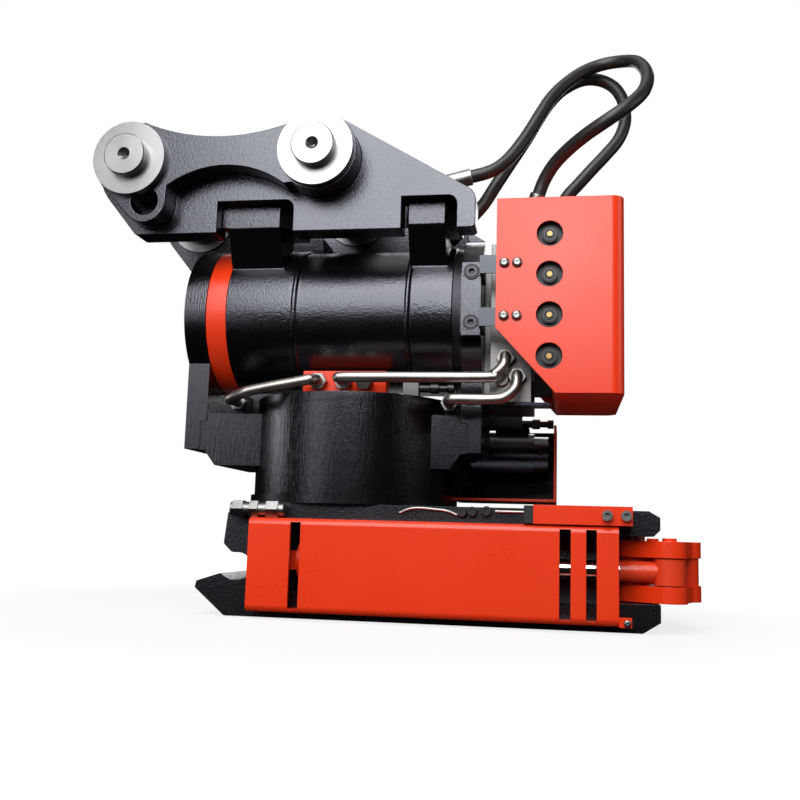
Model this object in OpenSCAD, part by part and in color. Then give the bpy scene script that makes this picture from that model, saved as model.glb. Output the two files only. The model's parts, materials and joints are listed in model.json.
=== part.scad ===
/* [Upper hitch] */
// Distance between the two hitch pins
pin_spacing = 270; // [255:1:290]
// Diameter of a hitch pin between the ears
pin_d = 80; // [66:1:90]
// Diameter of the turned stub at each end of a hitch pin
stub_d = 60; // [45:1:64]
// Length of the stub beyond its collar
stub_l = 15; // [8:1:25]
// Outside diameter of a pin collar
collar_d = 106; // [94:1:110]
// Thickness of a pin collar
collar_t = 12; // [6:1:18]
// Thickness of the collars on a hitch pin inside the ear plates
inner_collar_t = 5; // [3:1:8]
// Clear width between the two ear plates
ear_gap = 200; // [190:1:212]
// Thickness of an ear plate
ear_t = 40; // [32:1:46]
// Height of the raised face on an ear plate
raised_t = 38; // [20:1:45]
// Radius of an ear plate round a hitch pin
ear_r = 66; // [60:1:72]
// Radius of the raised face round a hitch pin
raised_r = 56; // [50:1:59]
// Height of the rear hitch pin above the tilt axis
pin_rise = 205; // [195:1:225]
// Drop of the front hitch pin below the rear one
front_drop = 5; // [0:1:12]
// Place of the rear hitch pin along the machine
rear_pin_x = -32; // [-45:1:-20]
// Height of the ear plates' lower edge above the tilt axis
ear_foot = 103; // [100:1:112]
// Place of the ear plates' rear end
ear_end_x = 185; // [178:1:188]
// Height of the windows in the lower edge of an ear plate
window_h = 46; // [38:1:52]

/* [Tilt actuator] */
// Outside diameter of the actuator tube
tube_d = 212; // [204:1:214]
// Height of the two bands above the tube
band_h = 4; // [2:1:6]
// Length of the actuator housing
housing_l = 328; // [310:1:340]
// Place of the housing's front end
housing_x0 = -176; // [-185:1:-165]
// Bore of the housing for the piston
piston_d = 160; // [150:1:166]
// Diameter of the tilt shaft's journals
shaft_d = 100; // [90:1:106]
// Diameter of the splined middle of the tilt shaft
spline_d = 110; // [108:1:120]
// Length of the piston sleeve
piston_l = 120; // [90:1:140]
// Width of the painted end ring
end_ring_t = 30; // [22:1:36]
// Width of the steel thrust ring
thrust_t = 11.7; // [8:0.1:14]

/* [Yoke] */
// Thickness of the front yoke plate
yoke_front_t = 32; // [26:1:40]
// Thickness of the rear yoke plate
yoke_rear_t = 29; // [24:1:32]
// How far the front yoke plate's round head stands out beyond the bands
yoke_front_over = 0; // [-8:1:6]
// How far the rear yoke plate's round head stands out beyond the bands
yoke_rear_over = 8; // [4:1:12]
// Half width of the yoke plates' shanks
shank_hw = 80; // [70:1:84]
// Length of the yoke plates below the tilt axis
shank_l = 201; // [190:1:206]

/* [Rotator] */
// Clear height between the tilt actuator's bands and the rotator's lid
lid_clearance = 15; // [12:1:30]
// Outside radius of the rotator housing
rotator_r = 147; // [140:1:152]
// Height of the rotator housing below its lid
rotator_h = 126; // [118:1:136]
// Thickness of the lid
lid_t = 13; // [10:1:18]
// Radius of the slew rotor's flange
flange_r = 152; // [144:1:158]
// Thickness of the slew rotor's flange
flange_t = 12.6; // [9:0.1:14]
// Module of the worm wheel's teeth
tooth_module = 6; // [5.5:0.1:6.2]
// Number of teeth on the worm wheel
wheel_teeth = 34; // [32:1:34]
// Pitch radius of the worm
worm_r = 28; // [26:0.5:29]
// Radius of the slew rotor's hub
hub_r = 60; // [54:1:66]

/* [Valve box] */
// Length of the valve cover along the machine
cover_l = 167.5; // [150:0.5:180]
// Width of the valve cover
cover_w = 235; // [225:1:250]
// Height of the valve cover
cover_h = 264; // [250:1:270]
// Thickness of the cover sheet
cover_t = 4; // [3:0.5:6]
// Radius of the cover's upright edges
cover_edge_r = 17; // [10:1:24]
// Diameter of the four windows for the valves
valve_hole_d = 35; // [30:1:38]
// Distance between neighbouring valves
valve_pitch = 55; // [50:1:57]
// Travel of a manual override pin
override_travel = 3; // [2:0.5:4]

/* [Quick hitch] */
// Height of the quick hitch body
hitch_h = 153; // [146:1:160]
// Half width of the hitch's flanges
hitch_hw = 138; // [134:1:142]
// Half width of the hitch's core
core_hw = 86; // [80:1:88]
// Diameter of the tool pins
tool_pin_d = 36; // [32:1:38]
// Distance between the tool pins
tool_pin_spacing = 430; // [420:1:436]
// Travel of the lock bolts
lock_travel = 46; // [44:1:48]
// Diameter of a lock bolt
lock_bolt_d = 24; // [20:1:26]
// Outer half width over the cylinder guards
guard_hw = 168; // [166:1:176]
// Thickness of the guard sheet
guard_t = 5; // [3:0.5:6]

/* [Gripper] */
// Outside diameter of a gripper cylinder
barrel_d = 50; // [46:1:51]
// Diameter of a gripper cylinder's rod
rod_d = 25; // [20:1:28]
// Thickness of a gripper arm's plates
arm_t = 21; // [16:1:22]
// Offset of the gripper cylinders from the middle
cylinder_y = 119; // [117:1:120]

/* [Hoses and pipes] */
// Outside diameter of the hydraulic hoses
hose_d = 19; // [15:0.5:21]
// Outside diameter of the steel pipes
pipe_d = 15; // [12:0.5:16]

/* [Hidden] */
$fn = 64;

// Paints and metals
black_paint = [0.10, 0.10, 0.11];
red_paint = [0.91, 0.27, 0.15];
turned_steel = [0.80, 0.80, 0.78];
zinc = [0.66, 0.67, 0.67];
bronze = [0.70, 0.52, 0.30];
brass = [0.80, 0.63, 0.28];
coil_black = [0.07, 0.07, 0.08];
rubber = [0.06, 0.06, 0.06];

// Clearances: running fits, moving neighbours and screws in their holes
fit = 0.05;
gap = 0.3;
screw_gap = 0.15;

// Heights, built up from the sole of the quick hitch
rotor_z = hitch_h;
housing_z = rotor_z + flange_t + 2 * gap;
lid_z = housing_z + rotator_h;
lid_top = lid_z + lid_t;
band_d = tube_d + 2 * band_h;
tilt_rise = band_d / 2 + lid_clearance;
tilt_z = lid_top + tilt_rise;

// Places along the tilt axis, from front to rear
housing_x1 = housing_x0 + housing_l;
yoke_front_x1 = housing_x0 - end_ring_t - gap;
yoke_front_x0 = yoke_front_x1 - yoke_front_t;
yoke_rear_x0 = housing_x1 + thrust_t + gap;
yoke_rear_x1 = yoke_rear_x0 + yoke_rear_t;

// Hitch pins and ear plates, seen from the side and measured from the tilt axis
rear_pin = [rear_pin_x, pin_rise];
front_pin = [rear_pin_x - pin_spacing, pin_rise - front_drop];
ear_y = ear_gap / 2;
raised_y = ear_y + ear_t;
collar_y = raised_y + raised_t;
collar_seat_r = stub_d / 2 + 2;
nose_slope = 50.7;
tail_slope = 30.5;
nose_top = front_pin + polar(ear_r, 270 - nose_slope);
nose_foot_x = nose_top[0] + (nose_top[1] - ear_foot) / tan(nose_slope);
tail_top = rear_pin + polar(ear_r, 90 - tail_slope);
tail_z = tail_top[1] - (ear_end_x - tail_top[0]) * tan(tail_slope);
tail_r = 20;
tongue = front_pin + [22, -60];
tongue_r = 31;
pocket_d = 40;
saddle_drop = 27;
arch_top = pin_rise - 17;
arch_r = 144;
arch_end = 233;
pin_half = pin_spacing / 2;
arch_x = rear_pin_x - pin_half + 3;
saddle_dz = raised_r - saddle_drop;
saddle_r = (pin_half * pin_half + saddle_dz * saddle_dz - raised_r * raised_r) / (2 * saddle_drop);

// Windows in the ear plates and the housing's lugs that fill them
front_window = [housing_x0 - 9, housing_x0 + 103];
rear_window = [housing_x1 - 70, housing_x1 + 7];
front_lug = [front_window[0], housing_x0 + 78];
rear_lug = [housing_x1 - 64, housing_x1 - 11];
window_r = 12;
window_top = ear_foot + window_h;
lug_y = raised_y - 22;
lug_in_y = ear_y - 60;
lug_chin = band_d / 2 + 6;
front_band_l = 92;
band_taper_l = 17;
rear_band_l = 60;

// Inside of the tilt actuator
end_wall_t = 26;
gland_t = 24;
piston_x = (housing_x0 + end_wall_t + housing_x1 - gland_t) / 2;
end_plate_r = shaft_d / 2 + 10;
end_plate_t = 10;
end_plate_pcd = 0.64 * shaft_d;
end_plate_screws = 6;
end_seat = 4;
end_screw_l = 39;
thrust_r = band_d / 2 - 2;

// Screw sizes: shank, head, head height
m8 = [8, 14, 4.4];
m10 = [10, 16, 10];
m12 = [12, 18, 12];
m16 = [16, 27.7, 10];
m14 = [14, 21, 14];

// Yoke plates, the keyed tongues of the rotator's arms and their bolts
yoke_front_r = band_d / 2 + yoke_front_over;
yoke_rear_r = band_d / 2 + yoke_rear_over;
land_y = -yoke_rear_r + 6;
bar_y = land_y - 15;
bar_x = [yoke_rear_x0 + 3, yoke_rear_x1];
bar_z = [-45, 57];
bar_screw_z = [-27, 44];
bar_pad = 19;
bar_dish = 2;
arm_bottom = housing_z + 40;
arm_top = housing_z + 115;
key_z = [housing_z + 62, housing_z + 104];
key_l = 9;
yoke_bolt_y = [-60, -20, 20, 60];
yoke_bolt_z = housing_z + 86;
yoke_bolt_l = 34;
yoke_seat = 11;
yoke_seat_r = m16[1] / 2 + 1.5;

// Worm, wheel and their cavity
wheel_r = tooth_module * wheel_teeth / 2;
worm_y = wheel_r + worm_r;
worm_z = housing_z + 72;
wheel_t = 26;
tooth_h = 0.9 * tooth_module;
worm_lead = PI * tooth_module;
worm_root = worm_r - tooth_h - 0.25 * tooth_module;
worm_tip = worm_r + tooth_h;
thread_l = 3 * worm_lead;
journal_r = 17;
cavity_r = wheel_r + tooth_h + 4;
cavity_z = housing_z + 40;
tunnel_r = worm_tip + 3;
worm_tube_r = tunnel_r + 13;
worm_x = [-128, 150];
bearing_l = 22;
motor_boss = [128, worm_x[1]];
motor_x = worm_x[1];
motor_flange_t = 14;
motor_l = 118;
motor_r = 40;
bush_t = 22;
bush_h = 30;
lid_spigot = 22;
lid_pcd = 2 * (cavity_r + (rotator_r - cavity_r) / 2);
lid_screws = 12;
lid_screw_l = 20;
flange_pcd = 102;
flange_bolts = 8;
slew_hole_l = 30;
slew_seat_z = m14[2] + 6;
sheet_t = 4;
guard_box_x = 295;
guard_box_z = [housing_z + 3, housing_z + 120];
guard_box_y = [70, worm_y + worm_tube_r + 10];

// Port blocks, pipes and fittings on the rotator
swivel_x = [-60, 60];
swivel_y = [-96, -68];
swivel_gap = 6;
swivel_h = tilt_rise - sqrt(pow(tube_d / 2 + swivel_gap, 2) - pow(swivel_y[1], 2));
port_x = [-36, 0, 30];
port_z = lid_top + swivel_h - 16;
nut_af = 22;
nut_l = 12;
pipe_y = -128;
front_port_x = [-172, -150];
rear_port_x = [142, 162];
port_block_y = [-79, -50];
port_block_h = 28;

// Valve box
manifold_x = [yoke_rear_x1 + 12, yoke_rear_x1 + 69];
manifold_y = [-100, 62];
shelf_t = 4;
shelf_w = 35;
shelf_z = lid_top - 12;
manifold_z = [shelf_z + shelf_t, lid_top + 215];
manifold_foot_hw = 55;
cover_x0 = yoke_rear_x1 + 22.5;
cover_x1 = cover_x0 + cover_l;
cover_z0 = lid_top - 3;
cover_z1 = cover_z0 + cover_h;
cover_y = [-157, cover_w - 157];
cover_cut = [79, 87];
valve_x = cover_x0 + 70.5;
valve_z0 = cover_z0 + 49;
coil_w = 42;
coil_end_y = cover_y[0] + cover_t + 8;
valve_body_w = 48;
coil_nut_r = 10.5;
override_d = 7;
tab_t = 4;
tab_w = 25;
tab_x1 = cover_x0 + 36;
tab_z = [tilt_z - 25.5, tilt_z + 46.5];
tab_screw_x = [cover_x0 + 11, cover_x0 + 28];
tab_y = [cover_y[0] + cover_t, cover_y[1] - cover_t - tab_t];
tab_foot_y = [[tab_y[0], -88], [manifold_foot_hw + 5, tab_y[1] + tab_t]];
tab_screw_l = 12;
ferrule_d = hose_d + 5;
ferrule_nut = ferrule_d + 4;
ferrule_l = 26;
elbow_r = 12;

// Routes of the two hoses, from the ports on the tilt actuator to the valve box, above the actuator's bands
hose_base = tilt_z + band_d / 2;
box_rise = cover_z1 - hose_base - 26;
near_points = [[172, -70, 91], [193, -70, 96], [211, -66, 106], [229, -58, 126], [250, -45, 161],
    [270, -28, 203], [285, -12, 234], [304, 4, 261], [330, 20, 287], [359, 28, 302], [388, 20, 302],
    [410, -4, 288], [420, -40, 257], [420, -76, 223], [410, -106, 190], [388, -124, 163],
    [362, -126, 144], [336, -114, 131], [311, -95, 118], [290, -76, 103], [276, -64, 84 + box_rise],
    [268, -60, 64 + box_rise]];
near_route = [for (p = near_points) p + [0, 0, hose_base]];
far_points = [[153, -24, 29], [169, -24, 45], [187, -24, 66], [203, -22, 93], [219, -17, 121],
    [247, -5, 171], [268, 10, 215], [284, 22, 244], [303, 34, 268], [331, 46, 287], [357, 54, 290],
    [379, 56, 279], [392, 50, 256], [396, 40, 228], [394, 30, 202], [384, 20, 175], [366, 12, 150],
    [346, 6, 126], [326, 2, 102], [309, 0, 82 + box_rise],
    [300, 0, 64 + box_rise]];
far_route = [for (p = far_points) p + [0, 0, hose_base]];
port_rise = near_route[0][2];
far_port = far_route[0];
port_block_x = [rear_lug[0] + 4, rear_lug[1] - 11];

// Quick hitch
jaw_x = -128;
jaw_z = 66;
jaw_r = tool_pin_d / 2 + 0.5;
jaw_root_x = -96;
core_end_x = 352;
flange_end_x = 427;
flange_low = [0, 36];
flange_high = [hitch_h - 32, hitch_h];
rear_seat_x = jaw_x + tool_pin_spacing;
rear_seat_z = 50;
rear_seat_hw = 62;
lock_y = 45;
lock_z = rear_seat_z - tool_pin_d / 2 - lock_bolt_d / 2 - 1;
lock_tip_x = rear_seat_x - jaw_r - 2;
crosshead_x = [176, 190];
lock_bay = [94, crosshead_x[1] + lock_travel + 6];
lock_bay_z = [-1, 62];
lock_bay_hw = 72;
lock_barrel_r = 24;
lock_barrel_z = 32;
lock_barrel_x = [97, 172];
lock_rod_r = 11;
guard_x = [-106, 374];
guard_z = [9, hitch_h - 21];
guard_bend = 9;
guard_slots = [[-49, -35], [301, 315], [334, 347]];
inline_off = 15;
inline_x = [-136, -62];
inline_nuts = [[-132, -118], [-109, -97], [-86, -69]];
inline_r = 9;
top_cover_x = [268, 391];
top_cover_z = hitch_h - 20;
top_screw_x = [359.5, 383];
top_screw_z = hitch_h - 7.5;
top_screw_l = 50;

// Gripper: arm pivot, rod eye, knuckle and finger tip of the near arm, seen from above
pivot = [400, -cylinder_y + 32];
eye = [440, -cylinder_y];
knuckle = [466, -cylinder_y + 57];
finger = [452, -10];
pivot_r = 24;
eye_r = 22;
knuckle_r = 20;
finger_r = 9;
arm_low = [flange_low[1] + 1.5, flange_low[1] + 1.5 + arm_t];
arm_high = [flange_high[0] - 5.5 - arm_t, flange_high[0] - 5.5];
pivot_pin_d = 24;
pivot_hub_r = 17;
eye_pin_d = 18;
eye_play = 4;
rod_eye_r = 20;
cylinder_z = (arm_low[1] + arm_high[0]) / 2;
tang_x = -72;
tang_r = 15;
tang_h = 25;
tang_pin_d = 18;
barrel_x = [-46, 296];
barrel_wall = 6;
gland_l = 16;
piston_place = [236, 256];
neck_x = 376;
neck_r = 13;

// Geometry helpers
function polar(r, a) = [r * cos(a), r * sin(a)];
function unit(v) = v / norm(v);
function flat(p) = [p[0], p[1]];
function corner_arc(a, b, c, r, steps) =
    let (u = unit(a - b), w = unit(c - b), half = acos(u * w) / 2)
    let (centre = b + unit(u + w) * r / sin(half))
    let (p = b + u * r / tan(half) - centre, q = b + w * r / tan(half) - centre)
    let (start = atan2(p[1], p[0]), sweep = atan2(p[0] * q[1] - p[1] * q[0], p * q))
    [for (i = [0:steps]) centre + polar(r, start + sweep * i / steps)];

// Outline through corners of the form [x, y, radius]
function rounded(pts, steps = 5) = [
    for (i = [0:len(pts) - 1])
        let (n = len(pts), b = pts[i], a = pts[(i + n - 1) % n], c = pts[(i + 1) % n])
        each (b[2] > 0 ? corner_arc(flat(a), flat(b), flat(c), b[2], steps) : [flat(b)])
];

// Two circles joined by their common tangents
module bar2d(p, r, q, s) {
    base = atan2(q[1] - p[1], q[0] - p[0]);
    lean = acos((r - s) / norm(q - p));
    translate(p) circle(r);
    translate(q) circle(s);
    polygon([
        p + polar(r, base + lean), p + polar(r, base - lean),
        q + polar(s, base - lean), q + polar(s, base + lean)
    ]);
}

// Outlines drawn as seen along an axis, made thick between two places on it
module rectangle(y, z) {
    polygon([[y[0], z[0]], [y[1], z[0]], [y[1], z[1]], [y[0], z[1]]]);
}
module along_x(x0, x1) {
    translate([x0, 0, 0]) rotate([90, 0, 90]) linear_extrude(x1 - x0) children();
}
module along_y(y0, y1) {
    translate([0, y1, 0]) rotate([90, 0, 0]) linear_extrude(y1 - y0) children();
}
module along_z(z0, z1) {
    translate([0, 0, z0]) linear_extrude(z1 - z0) children();
}

// Round bars between two places on an axis
module bar_x(x0, x1, r, y = 0, z = 0) {
    translate([x0, y, z]) rotate([0, 90, 0]) cylinder(r = r, h = x1 - x0);
}
module bar_y(y0, y1, r, x = 0, z = 0) {
    translate([x, y1, z]) rotate([90, 0, 0]) cylinder(r = r, h = y1 - y0);
}
module bar_z(z0, z1, r, x = 0, y = 0) {
    translate([x, y, z0]) cylinder(r = r, h = z1 - z0);
}
module block(x, y, z) {
    translate([x[0], y[0], z[0]]) cube([x[1] - x[0], y[1] - y[0], z[1] - z[0]]);
}
module both_sides() {
    children();
    mirror([0, 1, 0]) children();
}

// Socket-head screw along Z: the head stands above 0, the shank hangs below it
module socket_screw(size, l) {
    difference() {
        cylinder(d = size[1], h = size[2]);
        translate([0, 0, size[2] * 0.45]) cylinder(d = size[1] * 0.55, h = size[2], $fn = 6);
    }
    translate([0, 0, -l]) cylinder(d = size[0], h = l);
}
module hex_bolt(size, l) {
    cylinder(d = size[1], h = size[2], $fn = 6);
    translate([0, 0, -l]) cylinder(d = size[0], h = l);
}
module screw_hole(size, l) {
    translate([0, 0, -l]) cylinder(r = size[0] / 2 + screw_gap, h = l);
}

// Round tube swept along a route
function heading(p, i) = unit(p[min(i + 1, len(p) - 1)] - p[max(i - 1, 0)]);
function ring(p, i, r, n, side) =
    let (t = heading(p, i), s = unit(cross(t, side)), w = cross(s, t))
    [for (k = [0:n - 1]) p[i] + r * (cos(360 * k / n) * s + sin(360 * k / n) * w)];
module swept_tube(p, d, side, n = 12) {
    last = len(p) - 1;
    points = [for (i = [0:last]) each ring(p, i, d / 2, n, side)];
    start = [for (k = [0:n - 1]) k];
    end = [for (k = [n - 1:-1:0]) last * n + k];
    walls = [for (i = [0:last - 1], k = [0:n - 1])
        let (a = i * n + k, b = i * n + (k + 1) % n)
        each [[a, a + n, b + n], [a, b + n, b]]];
    polyhedron(points, concat([start], walls, [end]));
}

// Turns +Z towards a direction
module aim(v) {
    rotate([0, acos(v[2] / norm(v)), atan2(v[1], v[0])]) children();
}

// Upper hitch
module ear_outline() {
    difference() {
        union() {
            translate(rear_pin) circle(ear_r);
            translate(front_pin) circle(ear_r);
            polygon(rounded([
                [nose_top[0], nose_top[1], 0],
                [nose_foot_x, ear_foot, 8],
                [ear_end_x, ear_foot, 6],
                [ear_end_x, tail_z, tail_r],
                [tail_top[0], tail_top[1], 0],
                [rear_pin[0], rear_pin[1] + 8, 0],
                [front_pin[0], front_pin[1] + 8, 0]
            ]));
        }
        for (w = [front_window, rear_window])
            polygon(rounded([
                [w[0], ear_foot - 1, 0],
                [w[1], ear_foot - 1, 0],
                [w[1], window_top, window_r],
                [w[0], window_top, 0]
            ]));
    }
}
module raised_outline() {
    difference() {
        union() {
            translate(rear_pin) circle(raised_r);
            bar2d(front_pin, raised_r, tongue, tongue_r);
            difference() {
                polygon([
                    front_pin + [0, raised_r], tongue,
                    rear_pin + polar(raised_r, arch_end), rear_pin + [0, raised_r]
                ]);
                translate([arch_x, arch_top - arch_r]) circle(arch_r, $fn = 128);
            }
        }
        translate([(front_pin[0] + rear_pin[0]) / 2, pin_rise - front_drop / 2 + saddle_dz + saddle_r])
            circle(saddle_r, $fn = 128);
    }
}
module hitch_plate() {
    color(black_paint) translate([0, 0, tilt_z]) difference() {
        union() {
            along_y(-raised_y, -ear_y) ear_outline();
            along_y(-collar_y, -raised_y) raised_outline();
        }
        for (p = [front_pin, rear_pin]) bar_y(-collar_y - 1, -ear_y + 1, pin_d / 2 + fit, p[0], p[1]);
        bar_y(-collar_y - 1, -raised_y, pocket_d / 2, tongue[0], tongue[1]);
    }
}
module hitch_plate_near() {
    hitch_plate();
}
module hitch_plate_far() {
    mirror([0, 1, 0]) hitch_plate();
}
module hitch_pin(p) {
    end_y = collar_y + collar_t + stub_l;
    color(turned_steel) translate([p[0], 0, tilt_z + p[1]]) difference() {
        union() {
            bar_y(-collar_y, collar_y, pin_d / 2);
            bar_y(-collar_y - collar_t, collar_y + collar_t, collar_seat_r);
            bar_y(-end_y, end_y, stub_d / 2);
        }
        both_sides() {
            bar_y(-end_y - 1, -end_y + 12, 4);
            translate([0, -end_y, 0]) rotate([-90, 0, 0]) cylinder(r1 = 9, r2 = 4, h = 5);
        }
    }
}
module front_hitch_pin() {
    hitch_pin(front_pin);
}
module rear_hitch_pin() {
    hitch_pin(rear_pin);
}
module pin_collars() {
    color(turned_steel) translate([0, 0, tilt_z]) both_sides() for (p = [front_pin, rear_pin]) {
        difference() {
            bar_y(-collar_y - collar_t, -collar_y, collar_d / 2, p[0], p[1]);
            bar_y(-collar_y - collar_t - 1, -collar_y + 1, collar_seat_r + fit, p[0], p[1]);
        }
        difference() {
            bar_y(-ear_y, -ear_y + inner_collar_t, collar_d / 2, p[0], p[1]);
            bar_y(-ear_y - 1, -ear_y + inner_collar_t + 1, pin_d / 2 + fit, p[0], p[1]);
        }
    }
}

// Tilt actuator
module lug(x, window) {
    inner = max(x[0], housing_x0);
    along_x(x[0], x[1]) rectangle([-lug_y, -lug_in_y], [lug_chin, window_top]);
    along_x(x[0], window[1]) rectangle([-ear_y + gap, -lug_in_y], [lug_chin, window_top]);
    along_x(inner, x[1]) polygon([
        [-lug_y, lug_chin], [-lug_in_y, lug_chin], [-lug_in_y, lug_chin - 40],
        [-band_d / 2 + 24, lug_chin - 62]
    ]);
}
module tilt_housing() {
    band_end = housing_x0 + front_band_l;
    color(black_paint) translate([0, 0, tilt_z]) difference() {
        union() {
            bar_x(housing_x0, housing_x1, tube_d / 2);
            bar_x(housing_x0, band_end, band_d / 2);
            translate([band_end, 0, 0]) rotate([0, 90, 0])
                cylinder(d1 = band_d, d2 = tube_d, h = band_taper_l);
            bar_x(housing_x1 - rear_band_l, housing_x1, band_d / 2);
            both_sides() {
                lug(front_lug, front_window);
                lug(rear_lug, rear_window);
            }
        }
        bar_x(housing_x0 + end_wall_t, housing_x1 + 1, piston_d / 2);
        bar_x(housing_x0 - 1, housing_x1, shaft_d / 2 + fit);
    }
}
module tilt_gland() {
    color(turned_steel) translate([0, 0, tilt_z]) difference() {
        bar_x(housing_x1 - gland_t, housing_x1, piston_d / 2 - fit);
        bar_x(housing_x1 - gland_t - 1, housing_x1 + 1, shaft_d / 2 + fit);
    }
}
module tilt_end_ring() {
    color(red_paint) translate([0, 0, tilt_z]) difference() {
        bar_x(housing_x0 - end_ring_t, housing_x0, band_d / 2 - 1);
        bar_x(housing_x0 - end_ring_t - 1, housing_x0 + 1, shaft_d / 2 + fit);
    }
}
module thrust_ring() {
    color(zinc) translate([0, 0, tilt_z]) difference() {
        bar_x(housing_x1, housing_x1 + thrust_t, thrust_r);
        bar_x(housing_x1 - 1, housing_x1 + thrust_t + 1, shaft_d / 2 + fit);
    }
}
module tilt_piston() {
    color(turned_steel) translate([piston_x, 0, tilt_z]) difference() {
        bar_x(-piston_l / 2, piston_l / 2, piston_d / 2 - fit);
        bar_x(-piston_l / 2 - 1, piston_l / 2 + 1, spline_d / 2 + fit);
    }
}
module tilt_shaft() {
    left = yoke_front_x0 + end_plate_t;
    color(turned_steel) translate([0, 0, tilt_z]) difference() {
        union() {
            bar_x(left, yoke_rear_x1 - 6, shaft_d / 2);
            bar_x(housing_x0 + end_wall_t + gap, housing_x1 - gland_t - gap, spline_d / 2);
        }
        end_plate_places() screw_hole(m12, end_screw_l + 1);
    }
}
module end_plate_places() {
    for (i = [0:end_plate_screws - 1]) rotate([i * 360 / end_plate_screws, 0, 0])
        translate([yoke_front_x0 + end_plate_t - end_seat, 0, end_plate_pcd / 2])
            rotate([0, -90, 0]) children();
}
module shaft_end_plate() {
    color(black_paint) translate([0, 0, tilt_z]) difference() {
        bar_x(yoke_front_x0, yoke_front_x0 + end_plate_t, end_plate_r - fit);
        end_plate_places() screw_hole(m12, end_seat + 1);
        end_plate_places() cylinder(r = m12[1] / 2 + screw_gap, h = end_plate_t);
    }
}

// Hose ports and hoses
module hose_end(p, away, l) {
    translate(p) aim(away) {
        translate([0, 0, gap]) cylinder(d = ferrule_d, h = l - gap);
        translate([0, 0, l - nut_l]) cylinder(d = ferrule_nut, h = nut_l, $fn = 6);
    }
}
module hose_port_block() {
    color(zinc) {
        block(port_block_x, [near_route[0][1] - 22, -lug_in_y], [tilt_z + window_top, port_rise + 12]);
        block(port_block_x, [-lug_in_y, far_port[1] + 16], [tilt_z + band_d / 2, tilt_z + window_top + 10]);
        hose_end(near_route[0], near_route[0] - near_route[1], near_route[0][0] - port_block_x[1] + 6);
        hose_end(far_route[0], far_route[0] - far_route[1], ferrule_l);
    }
}
module hose_near() {
    color(rubber) swept_tube(near_route, hose_d, [0, 1, 0]);
}
module hose_far() {
    color(rubber) swept_tube(far_route, hose_d, [0, 1, 0]);
}
module box_ferrules() {
    color(zinc) for (p = [near_route, far_route]) {
        end = p[len(p) - 1];
        away = unit(end - p[len(p) - 2]);
        elbow = end + away * ferrule_l;
        hose_end(end, away, ferrule_l);
        bar_z(cover_z1, elbow[2], elbow_r, elbow[0], elbow[1]);
        translate(elbow) sphere(elbow_r);
    }
}

// Yoke
module yoke_bolt_places(x) {
    for (y = yoke_bolt_y) translate([x, y, yoke_bolt_z]) children();
}
module yoke_bolt_hole(plate_t) {
    screw_hole(m16, plate_t - yoke_seat + 1);
    cylinder(r = yoke_seat_r, h = yoke_seat + 1);
}
module yoke_bolt(plate_t) {
    hex_bolt(m16, plate_t - yoke_seat + yoke_bolt_l);
}
module key_slot(x0, x1) {
    block([x0, x1], [-shank_hw - 1, shank_hw + 1], [key_z[0] - screw_gap, key_z[1] + screw_gap]);
}
module front_yoke_plate() {
    color(black_paint) difference() {
        translate([0, 0, tilt_z]) along_x(yoke_front_x0, yoke_front_x1) {
            circle(yoke_front_r);
            polygon([[-shank_hw, -shank_l], [shank_hw, -shank_l], [shank_hw, 0], [-shank_hw, 0]]);
        }
        translate([0, 0, tilt_z]) {
            bar_x(yoke_front_x0 - 1, yoke_front_x1 + 1, shaft_d / 2 + fit);
            bar_x(yoke_front_x0 - 1, yoke_front_x0 + end_plate_t, end_plate_r);
        }
        key_slot(yoke_front_x1 - key_l - screw_gap, yoke_front_x1 + 1);
        yoke_bolt_places(yoke_front_x0 + yoke_seat) rotate([0, -90, 0]) yoke_bolt_hole(yoke_front_t);
    }
}
module rear_yoke_plate() {
    color(black_paint) difference() {
        translate([0, 0, tilt_z]) along_x(yoke_rear_x0, yoke_rear_x1) difference() {
            union() {
                circle(yoke_rear_r);
                polygon([[-shank_hw, -shank_l], [shank_hw, -shank_l], [shank_hw, 0], [-shank_hw, 0]]);
            }
            translate([land_y - 100, -200]) square([100, 400]);
            circle(shaft_d / 2 + fit);
        }
        key_slot(yoke_rear_x0 - 1, yoke_rear_x0 + key_l + screw_gap);
        yoke_bolt_places(yoke_rear_x1 - yoke_seat) rotate([0, 90, 0]) yoke_bolt_hole(yoke_rear_t);
        lock_bar_places() screw_hole(m10, 34);
    }
}
module lock_bar_places() {
    for (z = bar_screw_z) translate([(bar_x[0] + bar_x[1]) / 2, bar_y + 10, tilt_z + z])
        rotate([90, 0, 0]) children();
}
module lock_bar() {
    middle = [bar_z[0] + bar_pad, bar_z[1] - bar_pad];
    color(black_paint) difference() {
        block(bar_x, [bar_y, land_y], [tilt_z + bar_z[0], tilt_z + bar_z[1]]);
        block([bar_x[0] - 1, bar_x[1] + 1], [bar_y - 1, bar_y + bar_dish],
            [tilt_z + middle[0], tilt_z + middle[1]]);
        lock_bar_places() screw_hole(m10, 30);
        lock_bar_places() cylinder(r = m10[1] / 2 + screw_gap, h = 20);
    }
}
module yoke_bolts() {
    color(zinc) {
        yoke_bolt_places(yoke_front_x0 + yoke_seat) rotate([0, -90, 0]) yoke_bolt(yoke_front_t);
        yoke_bolt_places(yoke_rear_x1 - yoke_seat) rotate([0, 90, 0]) yoke_bolt(yoke_rear_t);
    }
}

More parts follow.
